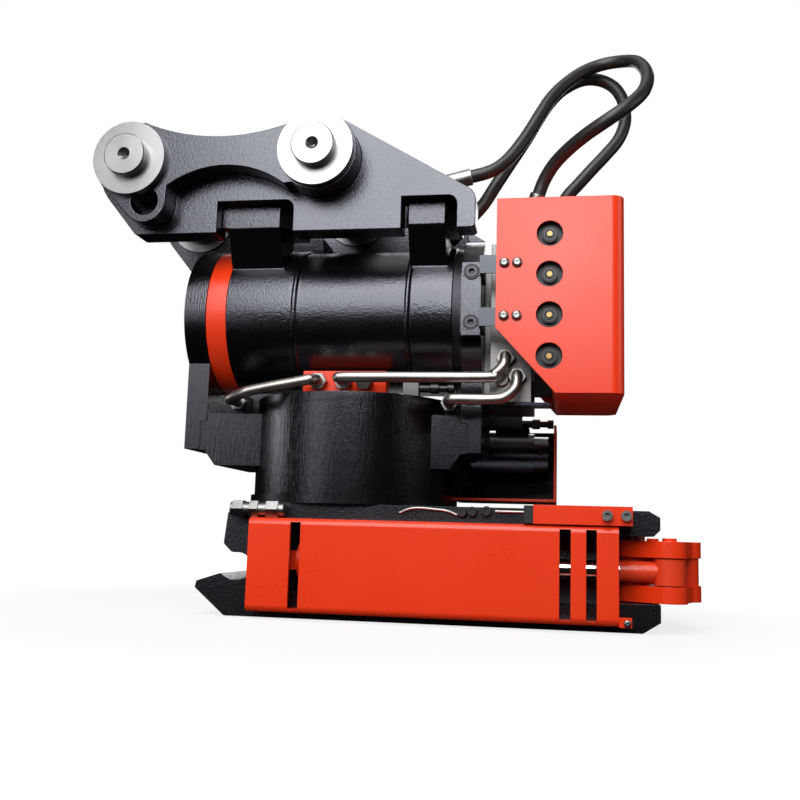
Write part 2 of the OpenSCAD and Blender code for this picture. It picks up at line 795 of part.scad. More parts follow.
// Rotator
module arm(x_in, x_out, key_end) {
    dir = sign(x_out - x_in);
    along_y(-shank_hw, shank_hw) polygon([
        [x_in, arm_bottom], [x_out - dir * 15, arm_bottom], [x_out, arm_bottom + 20],
        [x_out, key_z[0]], [key_end, key_z[0]], [key_end, key_z[1]], [x_out, key_z[1]],
        [x_out, arm_top], [x_in, arm_top]
    ]);
}
module rotator_housing() {
    thread_l = yoke_bolt_l + key_l + 2;
    color(black_paint) difference() {
        union() {
            bar_z(housing_z, lid_z, rotator_r);
            bar_x(worm_x[0], worm_x[1], worm_tube_r, worm_y, worm_z);
            block(motor_boss, [shank_hw, worm_y + worm_tube_r], [guard_box_z[0] + sheet_t, arm_top]);
            arm(-100, yoke_front_x1, yoke_front_x1 - key_l);
            arm(100, yoke_rear_x0, yoke_rear_x0 + key_l);
        }
        bar_z(cavity_z, lid_z + 1, cavity_r);
        bar_z(housing_z - 1, cavity_z + 1, hub_r + bush_t);
        bar_x(worm_x[0] + 14, worm_x[1] + 1, tunnel_r, worm_y, worm_z);
        yoke_bolt_places(yoke_front_x1 - key_l - 1) rotate([0, -90, 0]) screw_hole(m16, thread_l);
        yoke_bolt_places(yoke_rear_x0 + key_l + 1) rotate([0, 90, 0]) screw_hole(m16, thread_l);
        lid_screw_places() screw_hole(m12, lid_screw_l + 2);
    }
}
module lid_screw_places() {
    for (i = [0:lid_screws - 1]) rotate((i + 0.5) * 360 / lid_screws)
        translate([lid_pcd / 2, 0, lid_top - lid_t / 2]) children();
}
module rotator_lid() {
    color(black_paint) difference() {
        union() {
            bar_z(lid_z, lid_top, rotator_r);
            bar_z(lid_z - lid_spigot, lid_z + 1, cavity_r - 2);
        }
        bar_z(lid_z - lid_spigot - 1, lid_z, hub_r + bush_t);
        lid_screw_places() screw_hole(m12, lid_screw_l + 2);
        lid_screw_places() cylinder(r = m12[1] / 2 + screw_gap, h = 20);
    }
}
module slew_bushes() {
    color(bronze) for (z = [[cavity_z - bush_h, cavity_z], [lid_z - lid_spigot, lid_z]]) difference() {
        bar_z(z[0], z[1], hub_r + bush_t - fit);
        bar_z(z[0] - 1, z[1] + 1, hub_r + fit);
    }
}
module slew_rotor() {
    color(turned_steel) difference() {
        union() {
            bar_z(rotor_z, rotor_z + flange_t, flange_r);
            bar_z(rotor_z, lid_z - gap, hub_r);
        }
        slew_bolt_places() screw_hole(m14, slew_hole_l);
    }
}
module slew_bolt_places() {
    for (i = [0:flange_bolts - 1]) rotate((i + 0.5) * 360 / flange_bolts)
        translate([flange_pcd / 2, 0, rotor_z + slew_hole_l]) children();
}
module slew_bolts() {
    color(zinc) slew_bolt_places() translate([0, 0, slew_seat_z - rotor_z - slew_hole_l]) mirror([0, 0, 1])
        socket_screw(m14, hitch_h + 2);
}

// Worm wheel with straight, thinned teeth; a tooth gap faces the worm
module worm_wheel() {
    step = 360 / wheel_teeth;
    root = wheel_r - tooth_h - 0.8;
    root_hw = 0.30 * worm_lead;
    tip_hw = 0.12 * worm_lead;
    color(bronze) difference() {
        along_z(worm_z - wheel_t / 2, worm_z + wheel_t / 2) {
            circle(root);
            for (i = [0:wheel_teeth - 1]) rotate(90 + (i + 0.5) * step) polygon([
                [root - 2, -root_hw], [wheel_r + tooth_h, -tip_hw],
                [wheel_r + tooth_h, tip_hw], [root - 2, root_hw]
            ]);
        }
        bar_z(worm_z - wheel_t, worm_z + wheel_t, hub_r + fit);
    }
}

// Worm: a single right-hand thread, its crest towards the wheel at the middle
function thread_r(turn) =
    let (side = abs(turn - 0.5) * worm_lead)
    side < 0.10 * worm_lead ? worm_tip
    : side > 0.24 * worm_lead ? worm_root
    : worm_tip - (worm_tip - worm_root) * (side / worm_lead - 0.10) / 0.14;
module worm_shaft() {
    turns = thread_l / worm_lead;
    around = [0, 0.09, 0.18, 0.26, 0.33, 0.40, 0.47, 0.53, 0.60, 0.67, 0.74, 0.82, 0.91];
    color(turned_steel) translate([0, worm_y, worm_z]) {
        translate([-thread_l / 2, 0, 0]) rotate([0, 90, 0]) rotate(90 - 180 * turns)
            linear_extrude(thread_l, twist = -360 * turns, slices = 16 * turns, $fn = 13)
                polygon([for (t = around) polar(thread_r(t), 360 * t)]);
        bar_x(worm_x[0] + 14 + gap, -thread_l / 2 + 1, journal_r);
        bar_x(thread_l / 2 - 1, motor_x - gap, journal_r);
    }
}
module worm_bearings() {
    left = worm_x[0] + 14;
    right = motor_x - bearing_l;
    color(zinc) for (x = [left, right]) difference() {
        bar_x(x, x + bearing_l, tunnel_r - fit, worm_y, worm_z);
        bar_x(x - 1, x + bearing_l + 1, journal_r + fit, worm_y, worm_z);
    }
}
module hydraulic_motor() {
    end = motor_x + motor_flange_t + motor_l;
    color(coil_black) {
        block([motor_x, motor_x + motor_flange_t], [worm_y - 46, worm_y + 46], [worm_z - 46, worm_z + 46]);
        bar_x(motor_x, end - 22, motor_r, worm_y, worm_z);
        bar_x(motor_x, end, motor_r - 5, worm_y, worm_z);
        block([motor_x + 50, end - 30], [worm_y - 22, worm_y + 22], [worm_z, worm_z + motor_r + 8]);
    }
}
module motor_guard() {
    x = [motor_boss[0] + 9, guard_box_x];
    color(red_paint) {
        block(x, guard_box_y, [guard_box_z[0], guard_box_z[0] + sheet_t]);
        block([x[1] - sheet_t, x[1]], guard_box_y, guard_box_z);
        block(x, [guard_box_y[1] - sheet_t, guard_box_y[1]], guard_box_z);
    }
}

// Ports and pipes
module swivel_block() {
    color(red_paint) {
        block(swivel_x, swivel_y, [lid_top, lid_top + swivel_h]);
        block(front_port_x, port_block_y, [arm_top, arm_top + port_block_h]);
        block(rear_port_x, port_block_y, [arm_top, arm_top + port_block_h]);
    }
}
function manifold_port(i) = [manifold_x[0] + 22 + 16 * i, manifold_y[0], lid_top + 52 - 26 * i];
pipe_start = [for (x = port_x) [x, swivel_y[0] - nut_l, port_z]];
front_port = [front_port_x[1] - 8, port_block_y[0] - nut_l, arm_top + port_block_h / 2 + 2];
rear_port = [rear_port_x[1] - 13, port_block_y[0] - nut_l, arm_top + port_block_h / 2 + 2];
pipe_end = [for (i = [0:1]) manifold_port(i) - [0, nut_l, 0]];
module steel_pipes() {
    front = [pipe_start[0], pipe_start[0] - [0, 8, 0], [port_x[0] - 5, pipe_y + 5, port_z - 1],
        [port_x[0] - 14, pipe_y, port_z - 3], [-120, pipe_y, lid_top + 4], [-140, pipe_y + 1, lid_top - 2],
        [front_port[0] - 1, front_port[1] - 26, front_port[2]],
        [front_port[0], front_port[1] - 12, front_port[2]], front_port];
    upper = [pipe_start[1], pipe_start[1] - [0, 8, 0], [port_x[1] + 5, pipe_y + 5, port_z + 1],
        [port_x[1] + 14, pipe_y, port_z + 2], [pipe_end[0][0] - 30, pipe_y, port_z + 2],
        [pipe_end[0][0] - 14, pipe_y, port_z + 6], [pipe_end[0][0] - 3, pipe_y, port_z + 16],
        [pipe_end[0][0], pipe_y + 2, port_z + 24], [pipe_end[0][0], pipe_y + 8, pipe_end[0][2]], pipe_end[0]];
    lower = [rear_port, rear_port - [0, 12, 0], [rear_port[0] + 5, pipe_y + 5, rear_port[2]],
        [rear_port[0] + 14, pipe_y, rear_port[2]], [pipe_end[1][0] - 30, pipe_y, rear_port[2]],
        [pipe_end[1][0] - 14, pipe_y, rear_port[2] + 4], [pipe_end[1][0] - 3, pipe_y, rear_port[2] + 14],
        [pipe_end[1][0], pipe_y + 2, rear_port[2] + 22],
        [pipe_end[1][0], pipe_y + 8, pipe_end[1][2]], pipe_end[1]];
    color(turned_steel) for (p = [front, upper, lower]) swept_tube(p, pipe_d, [1, 1, 1]);
}
module pipe_fittings() {
    nuts = concat([for (p = pipe_start) p + [0, nut_l, 0]],
        [front_port + [0, nut_l, 0], rear_port + [0, nut_l, 0], manifold_port(0), manifold_port(1)]);
    color(zinc) for (p = nuts)
        translate(p) rotate([90, 0, 0]) cylinder(d = nut_af / cos(30), h = nut_l, $fn = 6);
}

// Valve box
module manifold_block() {
    color(zinc) {
        block(manifold_x, manifold_y, manifold_z);
        block([yoke_rear_x1, manifold_x[0] + 1], [-manifold_foot_hw, manifold_foot_hw],
            [manifold_z[0], tilt_z + 60]);
    }
}
module manifold_shelf() {
    color(coil_black) block([yoke_rear_x1, manifold_x[1] + 26], [manifold_y[0], manifold_y[0] + shelf_w],
        [shelf_z, shelf_z + shelf_t]);
}
module cover_outline(inset) {
    x = [cover_x0 + inset, cover_x1 - inset];
    y = [cover_y[0] + inset, cover_y[1] - inset];
    r = cover_edge_r - inset;
    polygon(rounded([[x[0], y[0], 0], [x[1], y[0], r], [x[1], y[1], r], [x[0], y[1], 0]], 8));
}
module cover_body(inset) {
    diagonal = unit([cover_cut[1], cover_cut[0]]) * inset;
    difference() {
        along_z(cover_z0 + inset, cover_z1 - inset) cover_outline(inset);
        translate([diagonal[0], 0, diagonal[1]]) along_y(cover_y[0] - 1, cover_y[1] + 1) polygon([
            [cover_x0 - 60, cover_z0 + cover_cut[1] * (1 + 60 / cover_cut[0])],
            [cover_x0 - 60, cover_z0 - 60],
            [cover_x0 + cover_cut[0] * (1 + 60 / cover_cut[1]), cover_z0 - 60]
        ]);
    }
}
module valve_places() {
    for (i = [0:3]) translate([valve_x, 0, valve_z0 + i * valve_pitch]) children();
}
module valve_cover() {
    inside_y = [cover_y[0] + cover_t, cover_y[1] - cover_t];
    color(red_paint) difference() {
        cover_body(0);
        cover_body(cover_t);
        block([cover_x0 - 1, cover_x0 + cover_t + 1], inside_y,
            [cover_z0 + cover_cut[1], cover_z1 - cover_t]);
        block([cover_x0 - 1, cover_x0 + cover_cut[0] - cover_t], inside_y,
            [cover_z0 - 1, cover_z0 + cover_cut[1] + 1]);
        valve_places() bar_y(cover_y[0] - 1, cover_y[0] + cover_t + 1, valve_hole_d / 2);
        tab_screw_places() screw_hole(m8, 20);
    }
}
module tab_screw_places() {
    for (x = tab_screw_x, z = tab_z, side = [0, 1])
        translate([x, cover_y[side], z]) rotate([90 - 180 * side, 0, 0]) children();
}
module cover_tabs() {
    color(zinc) difference() {
        for (z = tab_z, side = [0, 1]) {
            height = [z - tab_w / 2, z + tab_w / 2];
            block([yoke_rear_x1, tab_x1], [tab_y[side], tab_y[side] + tab_t], height);
            block([yoke_rear_x1, yoke_rear_x1 + tab_t], tab_foot_y[side], height);
        }
        tab_screw_places() screw_hole(m8, 20);
    }
}
module cover_screws() {
    color(zinc) tab_screw_places() {
        cylinder(d1 = m8[1], d2 = m8[1] * 0.6, h = m8[2]);
        translate([0, 0, -tab_screw_l]) cylinder(d = m8[0], h = tab_screw_l);
    }
}
module solenoid_valves() {
    color(coil_black) valve_places() difference() {
        union() {
            block([manifold_x[1] - valve_x, valve_body_w / 2], manifold_y,
                [-valve_body_w / 2, valve_body_w / 2]);
            block([-coil_w / 2, coil_w / 2], [coil_end_y, manifold_y[0] + 1], [-coil_w / 2, coil_w / 2]);
            bar_y(coil_end_y - 6, coil_end_y + 1, coil_nut_r);
        }
        bar_y(coil_end_y - 7, coil_end_y + 22, override_d / 2 + fit);
    }
}
module override_pin(i) {
    color(brass) translate([valve_x, 0, valve_z0 + i * valve_pitch])
        bar_y(coil_end_y - 10, coil_end_y + 22 - override_travel - 1, override_d / 2);
}
module override_pin_1() {
    override_pin(0);
}
module override_pin_2() {
    override_pin(1);
}
module override_pin_3() {
    override_pin(2);
}
module override_pin_4() {
    override_pin(3);
}

// Socket screws of the end plate, the rotator's lid and the lock bar
module socket_screws() {
    color(zinc) {
        translate([0, 0, tilt_z]) end_plate_places()
            socket_screw([m12[0], m12[1], end_plate_t - end_seat - 1], end_screw_l);
        lid_screw_places() socket_screw([m12[0], m12[1], lid_t / 2], lid_screw_l);
        lock_bar_places() socket_screw([m10[0], m10[1], 10], 28);
    }
}

// Quick hitch
module jaw_outline() {
    polygon(rounded([
        [jaw_root_x, 0, 0], [jaw_root_x, hitch_h, 0], [-134, hitch_h, 4], [-146, hitch_h - 16, 6],
        [-150, jaw_z + 30, 5], [-138, jaw_z + jaw_r, 6], [jaw_x, jaw_z + jaw_r, 0], [jaw_x, jaw_z - jaw_r, 0],
        [-138, jaw_z - jaw_r, 6], [-153, jaw_z - 10, 3], [-186, jaw_z - 21, 2], [-188, jaw_z - 30, 2],
        [-145, 0, 5]
    ]));
}
module quick_hitch_body() {
    color(black_paint) difference() {
        union() {
            along_y(-hitch_hw, hitch_hw) jaw_outline();
            block([jaw_root_x - 1, core_end_x], [-core_hw, core_hw], [0, hitch_h]);
            along_y(-hitch_hw, hitch_hw) polygon([
                [jaw_root_x - 1, flange_high[0]], [flange_end_x - 8, flange_high[0]],
                [flange_end_x, flange_high[0] + 8], [flange_end_x, hitch_h - 8],
                [flange_end_x - 14, hitch_h], [jaw_root_x - 1, hitch_h]
            ]);
            along_y(-hitch_hw, hitch_hw) polygon([
                [jaw_root_x - 1, 0], [flange_end_x - 22, 0], [flange_end_x, 14],
                [flange_end_x, flange_low[1]], [jaw_root_x - 1, flange_low[1]]
            ]);
        }
        bar_y(-hitch_hw - 1, hitch_hw + 1, jaw_r, jaw_x, jaw_z);
        bar_y(-rear_seat_hw, rear_seat_hw, jaw_r, rear_seat_x, rear_seat_z);
        block([rear_seat_x - jaw_r, rear_seat_x + jaw_r], [-rear_seat_hw, rear_seat_hw], [-1, rear_seat_z]);
        block(lock_bay, [-lock_bay_hw, lock_bay_hw], lock_bay_z);
        for (y = [-lock_y, lock_y])
            bar_x(lock_bay[1] - 1, core_end_x - 6, lock_bolt_d / 2 + fit, y, lock_z);
        both_sides() {
            bar_z(-1, hitch_h + 1, pivot_pin_d / 2 + fit, pivot[0], pivot[1]);
            bar_z(-1, hitch_h + 1, tang_pin_d / 2 + fit, tang_x, -cylinder_y);
        }
        top_screw_places() screw_hole(m8, top_screw_l + 2);
        slew_bolt_places() screw_hole(m14, hitch_h + slew_hole_l + 1);
        slew_bolt_places() translate([0, 0, -rotor_z - slew_hole_l - 1])
            cylinder(d = m14[1] + 1, h = slew_seat_z + 1);
    }
}
module top_screw_places() {
    for (x = top_screw_x) translate([x, -guard_hw, top_screw_z]) rotate([90, 0, 0]) children();
}
module guard_profile() {
    difference() {
        polygon(rounded([
            [-hitch_hw, guard_z[0], 0], [-guard_hw, guard_z[0], guard_bend],
            [-guard_hw, guard_z[1], guard_bend], [-hitch_hw, guard_z[1], 0]
        ]));
        polygon(rounded([
            [-hitch_hw + 1, guard_z[0] + guard_t, 0],
            [-guard_hw + guard_t, guard_z[0] + guard_t, guard_bend - guard_t],
            [-guard_hw + guard_t, guard_z[1] - guard_t, guard_bend - guard_t],
            [-hitch_hw + 1, guard_z[1] - guard_t, 0]
        ]));
    }
}
module cylinder_guard() {
    color(red_paint) difference() {
        along_x(guard_x[0], guard_x[1]) guard_profile();
        for (s = guard_slots) block(s, [-guard_hw - 1, -guard_hw + guard_t + 6],
            [guard_z[0] + guard_t, guard_z[1] - guard_t]);
    }
}
module cylinder_guard_near() {
    cylinder_guard();
}
module cylinder_guard_far() {
    mirror([0, 1, 0]) cylinder_guard();
}
module top_cover() {
    color(red_paint) difference() {
        union() {
            block(top_cover_x, [-guard_hw, -guard_hw + sheet_t], [top_cover_z, hitch_h + sheet_t]);
            block(top_cover_x, [-guard_hw, -hitch_hw + 40], [hitch_h, hitch_h + sheet_t]);
            block([top_screw_x[0] - 12, top_screw_x[1] + 8], [-guard_hw, -hitch_hw],
                [top_cover_z + 2, hitch_h]);
        }
        top_screw_places() screw_hole(m8, top_screw_l);
    }
}
module guard_screws() {
    color(zinc) top_screw_places() socket_screw([m8[0], m8[1] - 1, m8[0]], top_screw_l);
}
module inline_fitting() {
    axis_y = -hitch_hw - inline_off;
    axis_z = guard_z[1] + nut_af / 2;
    color(zinc) {
        bar_x(inline_x[0], inline_x[1], inline_r, axis_y, axis_z);
        for (x = inline_nuts)
            translate([x[0], axis_y, axis_z]) rotate([0, 90, 0]) rotate(30)
                cylinder(d = nut_af / cos(30), h = x[1] - x[0], $fn = 6);
    }
}
module lock_cylinder() {
    color(turned_steel) difference() {
        union() {
            bar_x(lock_barrel_x[0], lock_barrel_x[1], lock_barrel_r, 0, lock_barrel_z);
            block(lock_barrel_x, [-lock_barrel_r, lock_barrel_r], [lock_barrel_z, lock_bay_z[1]]);
        }
        bar_x(lock_barrel_x[0] + 10, lock_barrel_x[1] + 1, lock_rod_r + fit, 0, lock_barrel_z);
    }
}
module lock_bolts() {
    color(turned_steel) {
        for (y = [-lock_y, lock_y]) bar_x(crosshead_x[0], lock_tip_x, lock_bolt_d / 2, y, lock_z);
        block(crosshead_x, [-lock_bay_hw + 2, lock_bay_hw - 2], [3, lock_barrel_z + lock_rod_r + 4]);
        bar_x(lock_barrel_x[0] + 12, crosshead_x[0] + 1, lock_rod_r, 0, lock_barrel_z);
    }
}
module gripper_pins() {
    color(turned_steel) both_sides() {
        bar_z(2, hitch_h, pivot_pin_d / 2, pivot[0], pivot[1]);
        bar_z(2, hitch_h, tang_pin_d / 2, tang_x, -cylinder_y);
    }
}

// Gripper
module arm_outline() {
    bar2d(pivot, pivot_r, eye, eye_r);
    bar2d(pivot, pivot_r, knuckle, knuckle_r);
    bar2d(eye, eye_r - 6, knuckle, knuckle_r - 6);
    translate(knuckle) circle(knuckle_r);
    bar2d(knuckle, knuckle_r - 3, finger, finger_r);
    polygon([pivot, eye, knuckle]);
}
module gripper_arm() {
    color(red_paint) difference() {
        union() {
            along_z(arm_low[0], arm_low[1]) arm_outline();
            along_z(arm_high[0], arm_high[1]) arm_outline();
            bar_z(arm_low[0], arm_high[1], pivot_hub_r, pivot[0], pivot[1]);
            along_z(arm_low[0], arm_high[1]) bar2d(knuckle, knuckle_r - 3, finger, finger_r);
            bar_z(arm_low[0], arm_high[1] + 4, eye_pin_d / 2, eye[0], eye[1]);
        }
        bar_z(arm_low[0] - 1, arm_high[1] + 1, pivot_pin_d / 2 + fit, pivot[0], pivot[1]);
    }
}
module gripper_arm_near() {
    gripper_arm();
}
module gripper_arm_far() {
    mirror([0, 1, 0]) gripper_arm();
}
module grip_barrel() {
    color(red_paint) difference() {
        union() {
            bar_x(barrel_x[0], barrel_x[1], barrel_d / 2, -cylinder_y, cylinder_z);
            along_z(cylinder_z - tang_h / 2, cylinder_z + tang_h / 2)
                bar2d([tang_x, -cylinder_y], tang_r, [barrel_x[0] + 10, -cylinder_y], tang_r - 1);
        }
        bar_x(barrel_x[0] + 14, barrel_x[1] - gland_l, barrel_d / 2 - barrel_wall, -cylinder_y, cylinder_z);
        bar_x(barrel_x[0] + 20, barrel_x[1] + 1, rod_d / 2 + fit, -cylinder_y, cylinder_z);
        bar_z(0, hitch_h, tang_pin_d / 2 + fit, tang_x, -cylinder_y);
    }
}
module grip_barrel_near() {
    grip_barrel();
}
module grip_barrel_far() {
    mirror([0, 1, 0]) grip_barrel();
}
module grip_rod() {
    color(turned_steel) difference() {
        union() {
            bar_x(piston_place[0], neck_x + 2, rod_d / 2, -cylinder_y, cylinder_z);
            bar_x(piston_place[0], piston_place[1], barrel_d / 2 - barrel_wall - fit,
                -cylinder_y, cylinder_z);
            bar_x(neck_x, eye[0] - 10, neck_r, -cylinder_y, cylinder_z);
            bar_z(arm_low[1] + 1.5, arm_high[0] - 1.5, rod_eye_r, eye[0], eye[1]);
        }
        bar_z(0, hitch_h, eye_pin_d / 2 + eye_play, eye[0], eye[1]);
    }
}
module grip_rod_near() {
    grip_rod();
}
module grip_rod_far() {
    mirror([0, 1, 0]) grip_rod();
}

hitch_plate_near();
hitch_plate_far();
front_hitch_pin();
rear_hitch_pin();
pin_collars();
tilt_housing();
tilt_gland();
tilt_end_ring();
thrust_ring();
hose_port_block();
hose_near();
hose_far();
tilt_piston();
tilt_shaft();
shaft_end_plate();
front_yoke_plate();
rear_yoke_plate();
lock_bar();
socket_screws();
yoke_bolts();
rotator_housing();
rotator_lid();
slew_bushes();
worm_bearings();
hydraulic_motor();
motor_guard();
swivel_block();
steel_pipes();
pipe_fittings();
manifold_block();
cover_tabs();
manifold_shelf();
valve_cover();
cover_screws();
solenoid_valves();
box_ferrules();
override_pin_1();
override_pin_2();
override_pin_3();
override_pin_4();
worm_shaft();
slew_rotor();
worm_wheel();
quick_hitch_body();
slew_bolts();
cylinder_guard_near();
cylinder_guard_far();
top_cover();
guard_screws();
inline_fitting();
lock_cylinder();
gripper_pins();
lock_bolts();
gripper_arm_near();
gripper_arm_far();
grip_barrel_near();
grip_barrel_far();
grip_rod_near();
grip_rod_far();
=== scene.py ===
# %% [markdown]
# # Dressing a tilt rotator
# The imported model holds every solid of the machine: the pin hitch on top, the tilt actuator under it,
# the slew drum, the valve box and the quick hitch with its gripper. This lesson keeps those solids where
# they are and gives them eased edges, finishes, hoses and the small fittings that make them look real.

# %% Load the frame
import json

import bmesh
import bpy
import numpy as np
from mathutils import Matrix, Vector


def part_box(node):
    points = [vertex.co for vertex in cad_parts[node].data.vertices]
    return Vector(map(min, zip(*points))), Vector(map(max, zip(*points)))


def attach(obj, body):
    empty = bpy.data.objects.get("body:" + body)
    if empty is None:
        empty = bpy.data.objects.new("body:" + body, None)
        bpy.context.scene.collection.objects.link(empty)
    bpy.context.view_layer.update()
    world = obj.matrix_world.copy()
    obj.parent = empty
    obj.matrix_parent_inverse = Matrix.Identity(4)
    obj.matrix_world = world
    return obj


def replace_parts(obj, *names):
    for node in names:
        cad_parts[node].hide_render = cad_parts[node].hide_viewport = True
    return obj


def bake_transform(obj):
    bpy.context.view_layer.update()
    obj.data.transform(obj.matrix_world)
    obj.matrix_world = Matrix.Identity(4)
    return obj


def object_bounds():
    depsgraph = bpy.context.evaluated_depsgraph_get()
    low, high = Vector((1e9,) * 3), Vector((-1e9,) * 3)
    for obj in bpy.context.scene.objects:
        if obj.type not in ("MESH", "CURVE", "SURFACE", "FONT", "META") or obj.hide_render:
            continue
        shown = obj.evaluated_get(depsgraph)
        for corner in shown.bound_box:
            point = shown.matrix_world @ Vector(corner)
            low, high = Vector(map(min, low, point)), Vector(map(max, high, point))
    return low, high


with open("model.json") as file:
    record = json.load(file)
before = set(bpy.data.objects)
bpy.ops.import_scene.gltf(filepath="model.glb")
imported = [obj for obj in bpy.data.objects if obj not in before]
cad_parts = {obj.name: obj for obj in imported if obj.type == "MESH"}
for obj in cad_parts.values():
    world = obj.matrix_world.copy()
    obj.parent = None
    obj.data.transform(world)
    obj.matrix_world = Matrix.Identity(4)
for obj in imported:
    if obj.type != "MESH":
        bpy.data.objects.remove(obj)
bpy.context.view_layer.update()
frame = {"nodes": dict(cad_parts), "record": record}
nodes = frame["nodes"]
MM = 0.001

# %% [markdown]
# ## Camera
# The picture was taken from low down in front of the machine, a little to its right, looking slightly up.
# A camera can be aimed by eye or placed by a worked-out pose. Here the pose is built from three angles,
# because the same angles then give the right, up and back axes of the camera's matrix.

# %% Camera
CAMERA_MM = np.array([304.8, -1414.9, 114.4])
AZIMUTH, ELEVATION, ROLL = np.radians([9.65, -7.9, 1.66])
FOCAL_PX = 970.0
IMAGE_PX = 800.0
SENSOR_MM = 36.0

flat = np.cos(ELEVATION)
back = np.array([np.sin(AZIMUTH) * flat, -np.cos(AZIMUTH) * flat, np.sin(ELEVATION)])
level = np.array([np.cos(AZIMUTH), np.sin(AZIMUTH), 0.0])
upright = np.cross(back, level)
right = np.cos(ROLL) * level + np.sin(ROLL) * upright
up = np.cos(ROLL) * upright - np.sin(ROLL) * level
pose = np.eye(4)
pose[:3, :3] = np.stack([right, up, back], axis=1)
pose[:3, 3] = CAMERA_MM * MM
lens = bpy.data.cameras.new("camera")
lens.sensor_width = SENSOR_MM
lens.lens = SENSOR_MM * FOCAL_PX / IMAGE_PX
camera = bpy.data.objects.new("camera", lens)
camera.matrix_world = Matrix(pose.tolist())
bpy.context.scene.collection.objects.link(camera)
bpy.context.scene.camera = camera
print("lens", round(lens.lens, 2), "mm")

# %% [markdown]
# ## Shapes from grids
# Every new piece is a grid of points: rows run along the piece, columns run round it. One helper turns such
# a grid into a closed mesh. Another carries a circle along a path, which makes hoses, pipes and thin lines.
# A third turns a profile about an axis, as a lathe does, and a fourth makes a plain box.

# %% Mesh helpers
SHARP_DEG = 38.0
NEARLY_ALONG = 0.9


def skin(name, grids, finish, body, ring=False):
    """One closed shell for each grid of points: a row is a ring. The end rows are filled, or joined."""
    faces = []
    used = 0
    for grid in grids:
        rows, columns, _ = grid.shape
        index = used + np.arange(rows * columns).reshape(rows, columns)
        caps = [] if ring else [index[0, ::-1].tolist(), index[-1].tolist()]
        index = np.vstack([index, index[:1]]) if ring else index
        after = np.roll(index, -1, axis=1)
        quads = np.stack([index[:-1], after[:-1], after[1:], index[1:]], axis=-1).reshape(-1, 4)
        faces += quads.tolist() + caps
        used += rows * columns
    mesh = bpy.data.meshes.new(name)
    mesh.from_pydata(np.vstack([grid.reshape(-1, 3) for grid in grids]), [], faces)
    return place(name, mesh, finish, body)


def place(name, mesh, finish, body):
    """Points the faces outwards, shades round stretches smoothly and lets the piece ride on its body."""
    work = bmesh.new()
    work.from_mesh(mesh)
    bmesh.ops.recalc_face_normals(work, faces=work.faces)
    work.to_mesh(mesh)
    work.free()
    mesh.shade_smooth()
    mesh.set_sharp_from_angle(angle=np.radians(SHARP_DEG))
    mesh.materials.append(finish)
    piece = bpy.data.objects.new(name, mesh)
    bpy.context.scene.collection.objects.link(piece)
    if body:
        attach(piece, body)
    return piece


def smooth_path(points, steps):
    """Catmull-Rom curve. On the span from b to c, with a before and d after,
    2p = 2b + (c - a)t + (2a - 5b + 4c - d)t^2 + (3b - a - 3c + d)t^3."""
    p = np.asarray(points, dtype=float)
    q = np.vstack([2 * p[0] - p[1], p, 2 * p[-1] - p[-2]])
    a, b, c, d = (q[i:len(q) - 3 + i, None] for i in range(4))
    t = (np.arange(steps) / steps)[None, :, None]
    span = 2 * b + (c - a) * t + (2 * a - 5 * b + 4 * c - d) * t**2 + (3 * b - a - 3 * c + d) * t**3
    return np.vstack([span.reshape(-1, 3) / 2, p[-1:]])


def tube(path, radius, side, columns):
    """Rings of a circle carried along a path: p + r (cos u s + sin u w), s and w square to the path."""
    tangent = np.gradient(path, axis=0)
    tangent /= np.linalg.norm(tangent, axis=1, keepdims=True)
    s = np.cross(tangent, side)
    s /= np.linalg.norm(s, axis=1, keepdims=True)
    w = np.cross(s, tangent)
    u = np.linspace(0, 2 * np.pi, columns, endpoint=False)[None, :, None]
    return path[:, None] + radius * (np.cos(u) * s[:, None] + np.sin(u) * w[:, None])


def turned(base, axis, profile, columns):
    """Rings of a lathe profile of (place along the axis, radius) pairs, about an axis through base."""
    axis = np.asarray(axis, dtype=float) / np.linalg.norm(axis)
    helper = np.array([0.0, 0.0, 1.0]) if abs(axis[2]) < NEARLY_ALONG else np.array([1.0, 0.0, 0.0])
    s = np.cross(axis, helper)
    s /= np.linalg.norm(s)
    w = np.cross(axis, s)
    along, radius = np.asarray(profile, dtype=float).T[:, :, None, None]
    u = np.linspace(0, 2 * np.pi, columns, endpoint=False)[None, :, None]
    return np.asarray(base, dtype=float) + along * axis + radius * (np.cos(u) * s + np.sin(u) * w)


def brick(low, high):
    """Two rings of four corners, which make a box between its lowest and highest corner."""
    (x0, y0, z0), (x1, y1, z1) = low, high
    return np.array([[(x0, y0, z), (x1, y0, z), (x1, y1, z), (x0, y1, z)] for z in (z0, z1)], dtype=float)


print("mesh helpers ready")

# %% [markdown]
# ## Shader arithmetic
# Node trees are easier to read as formulas. The class below wraps one output of a node, so that adding or
# multiplying two of them adds a Math node, and one method makes every other kind of node.


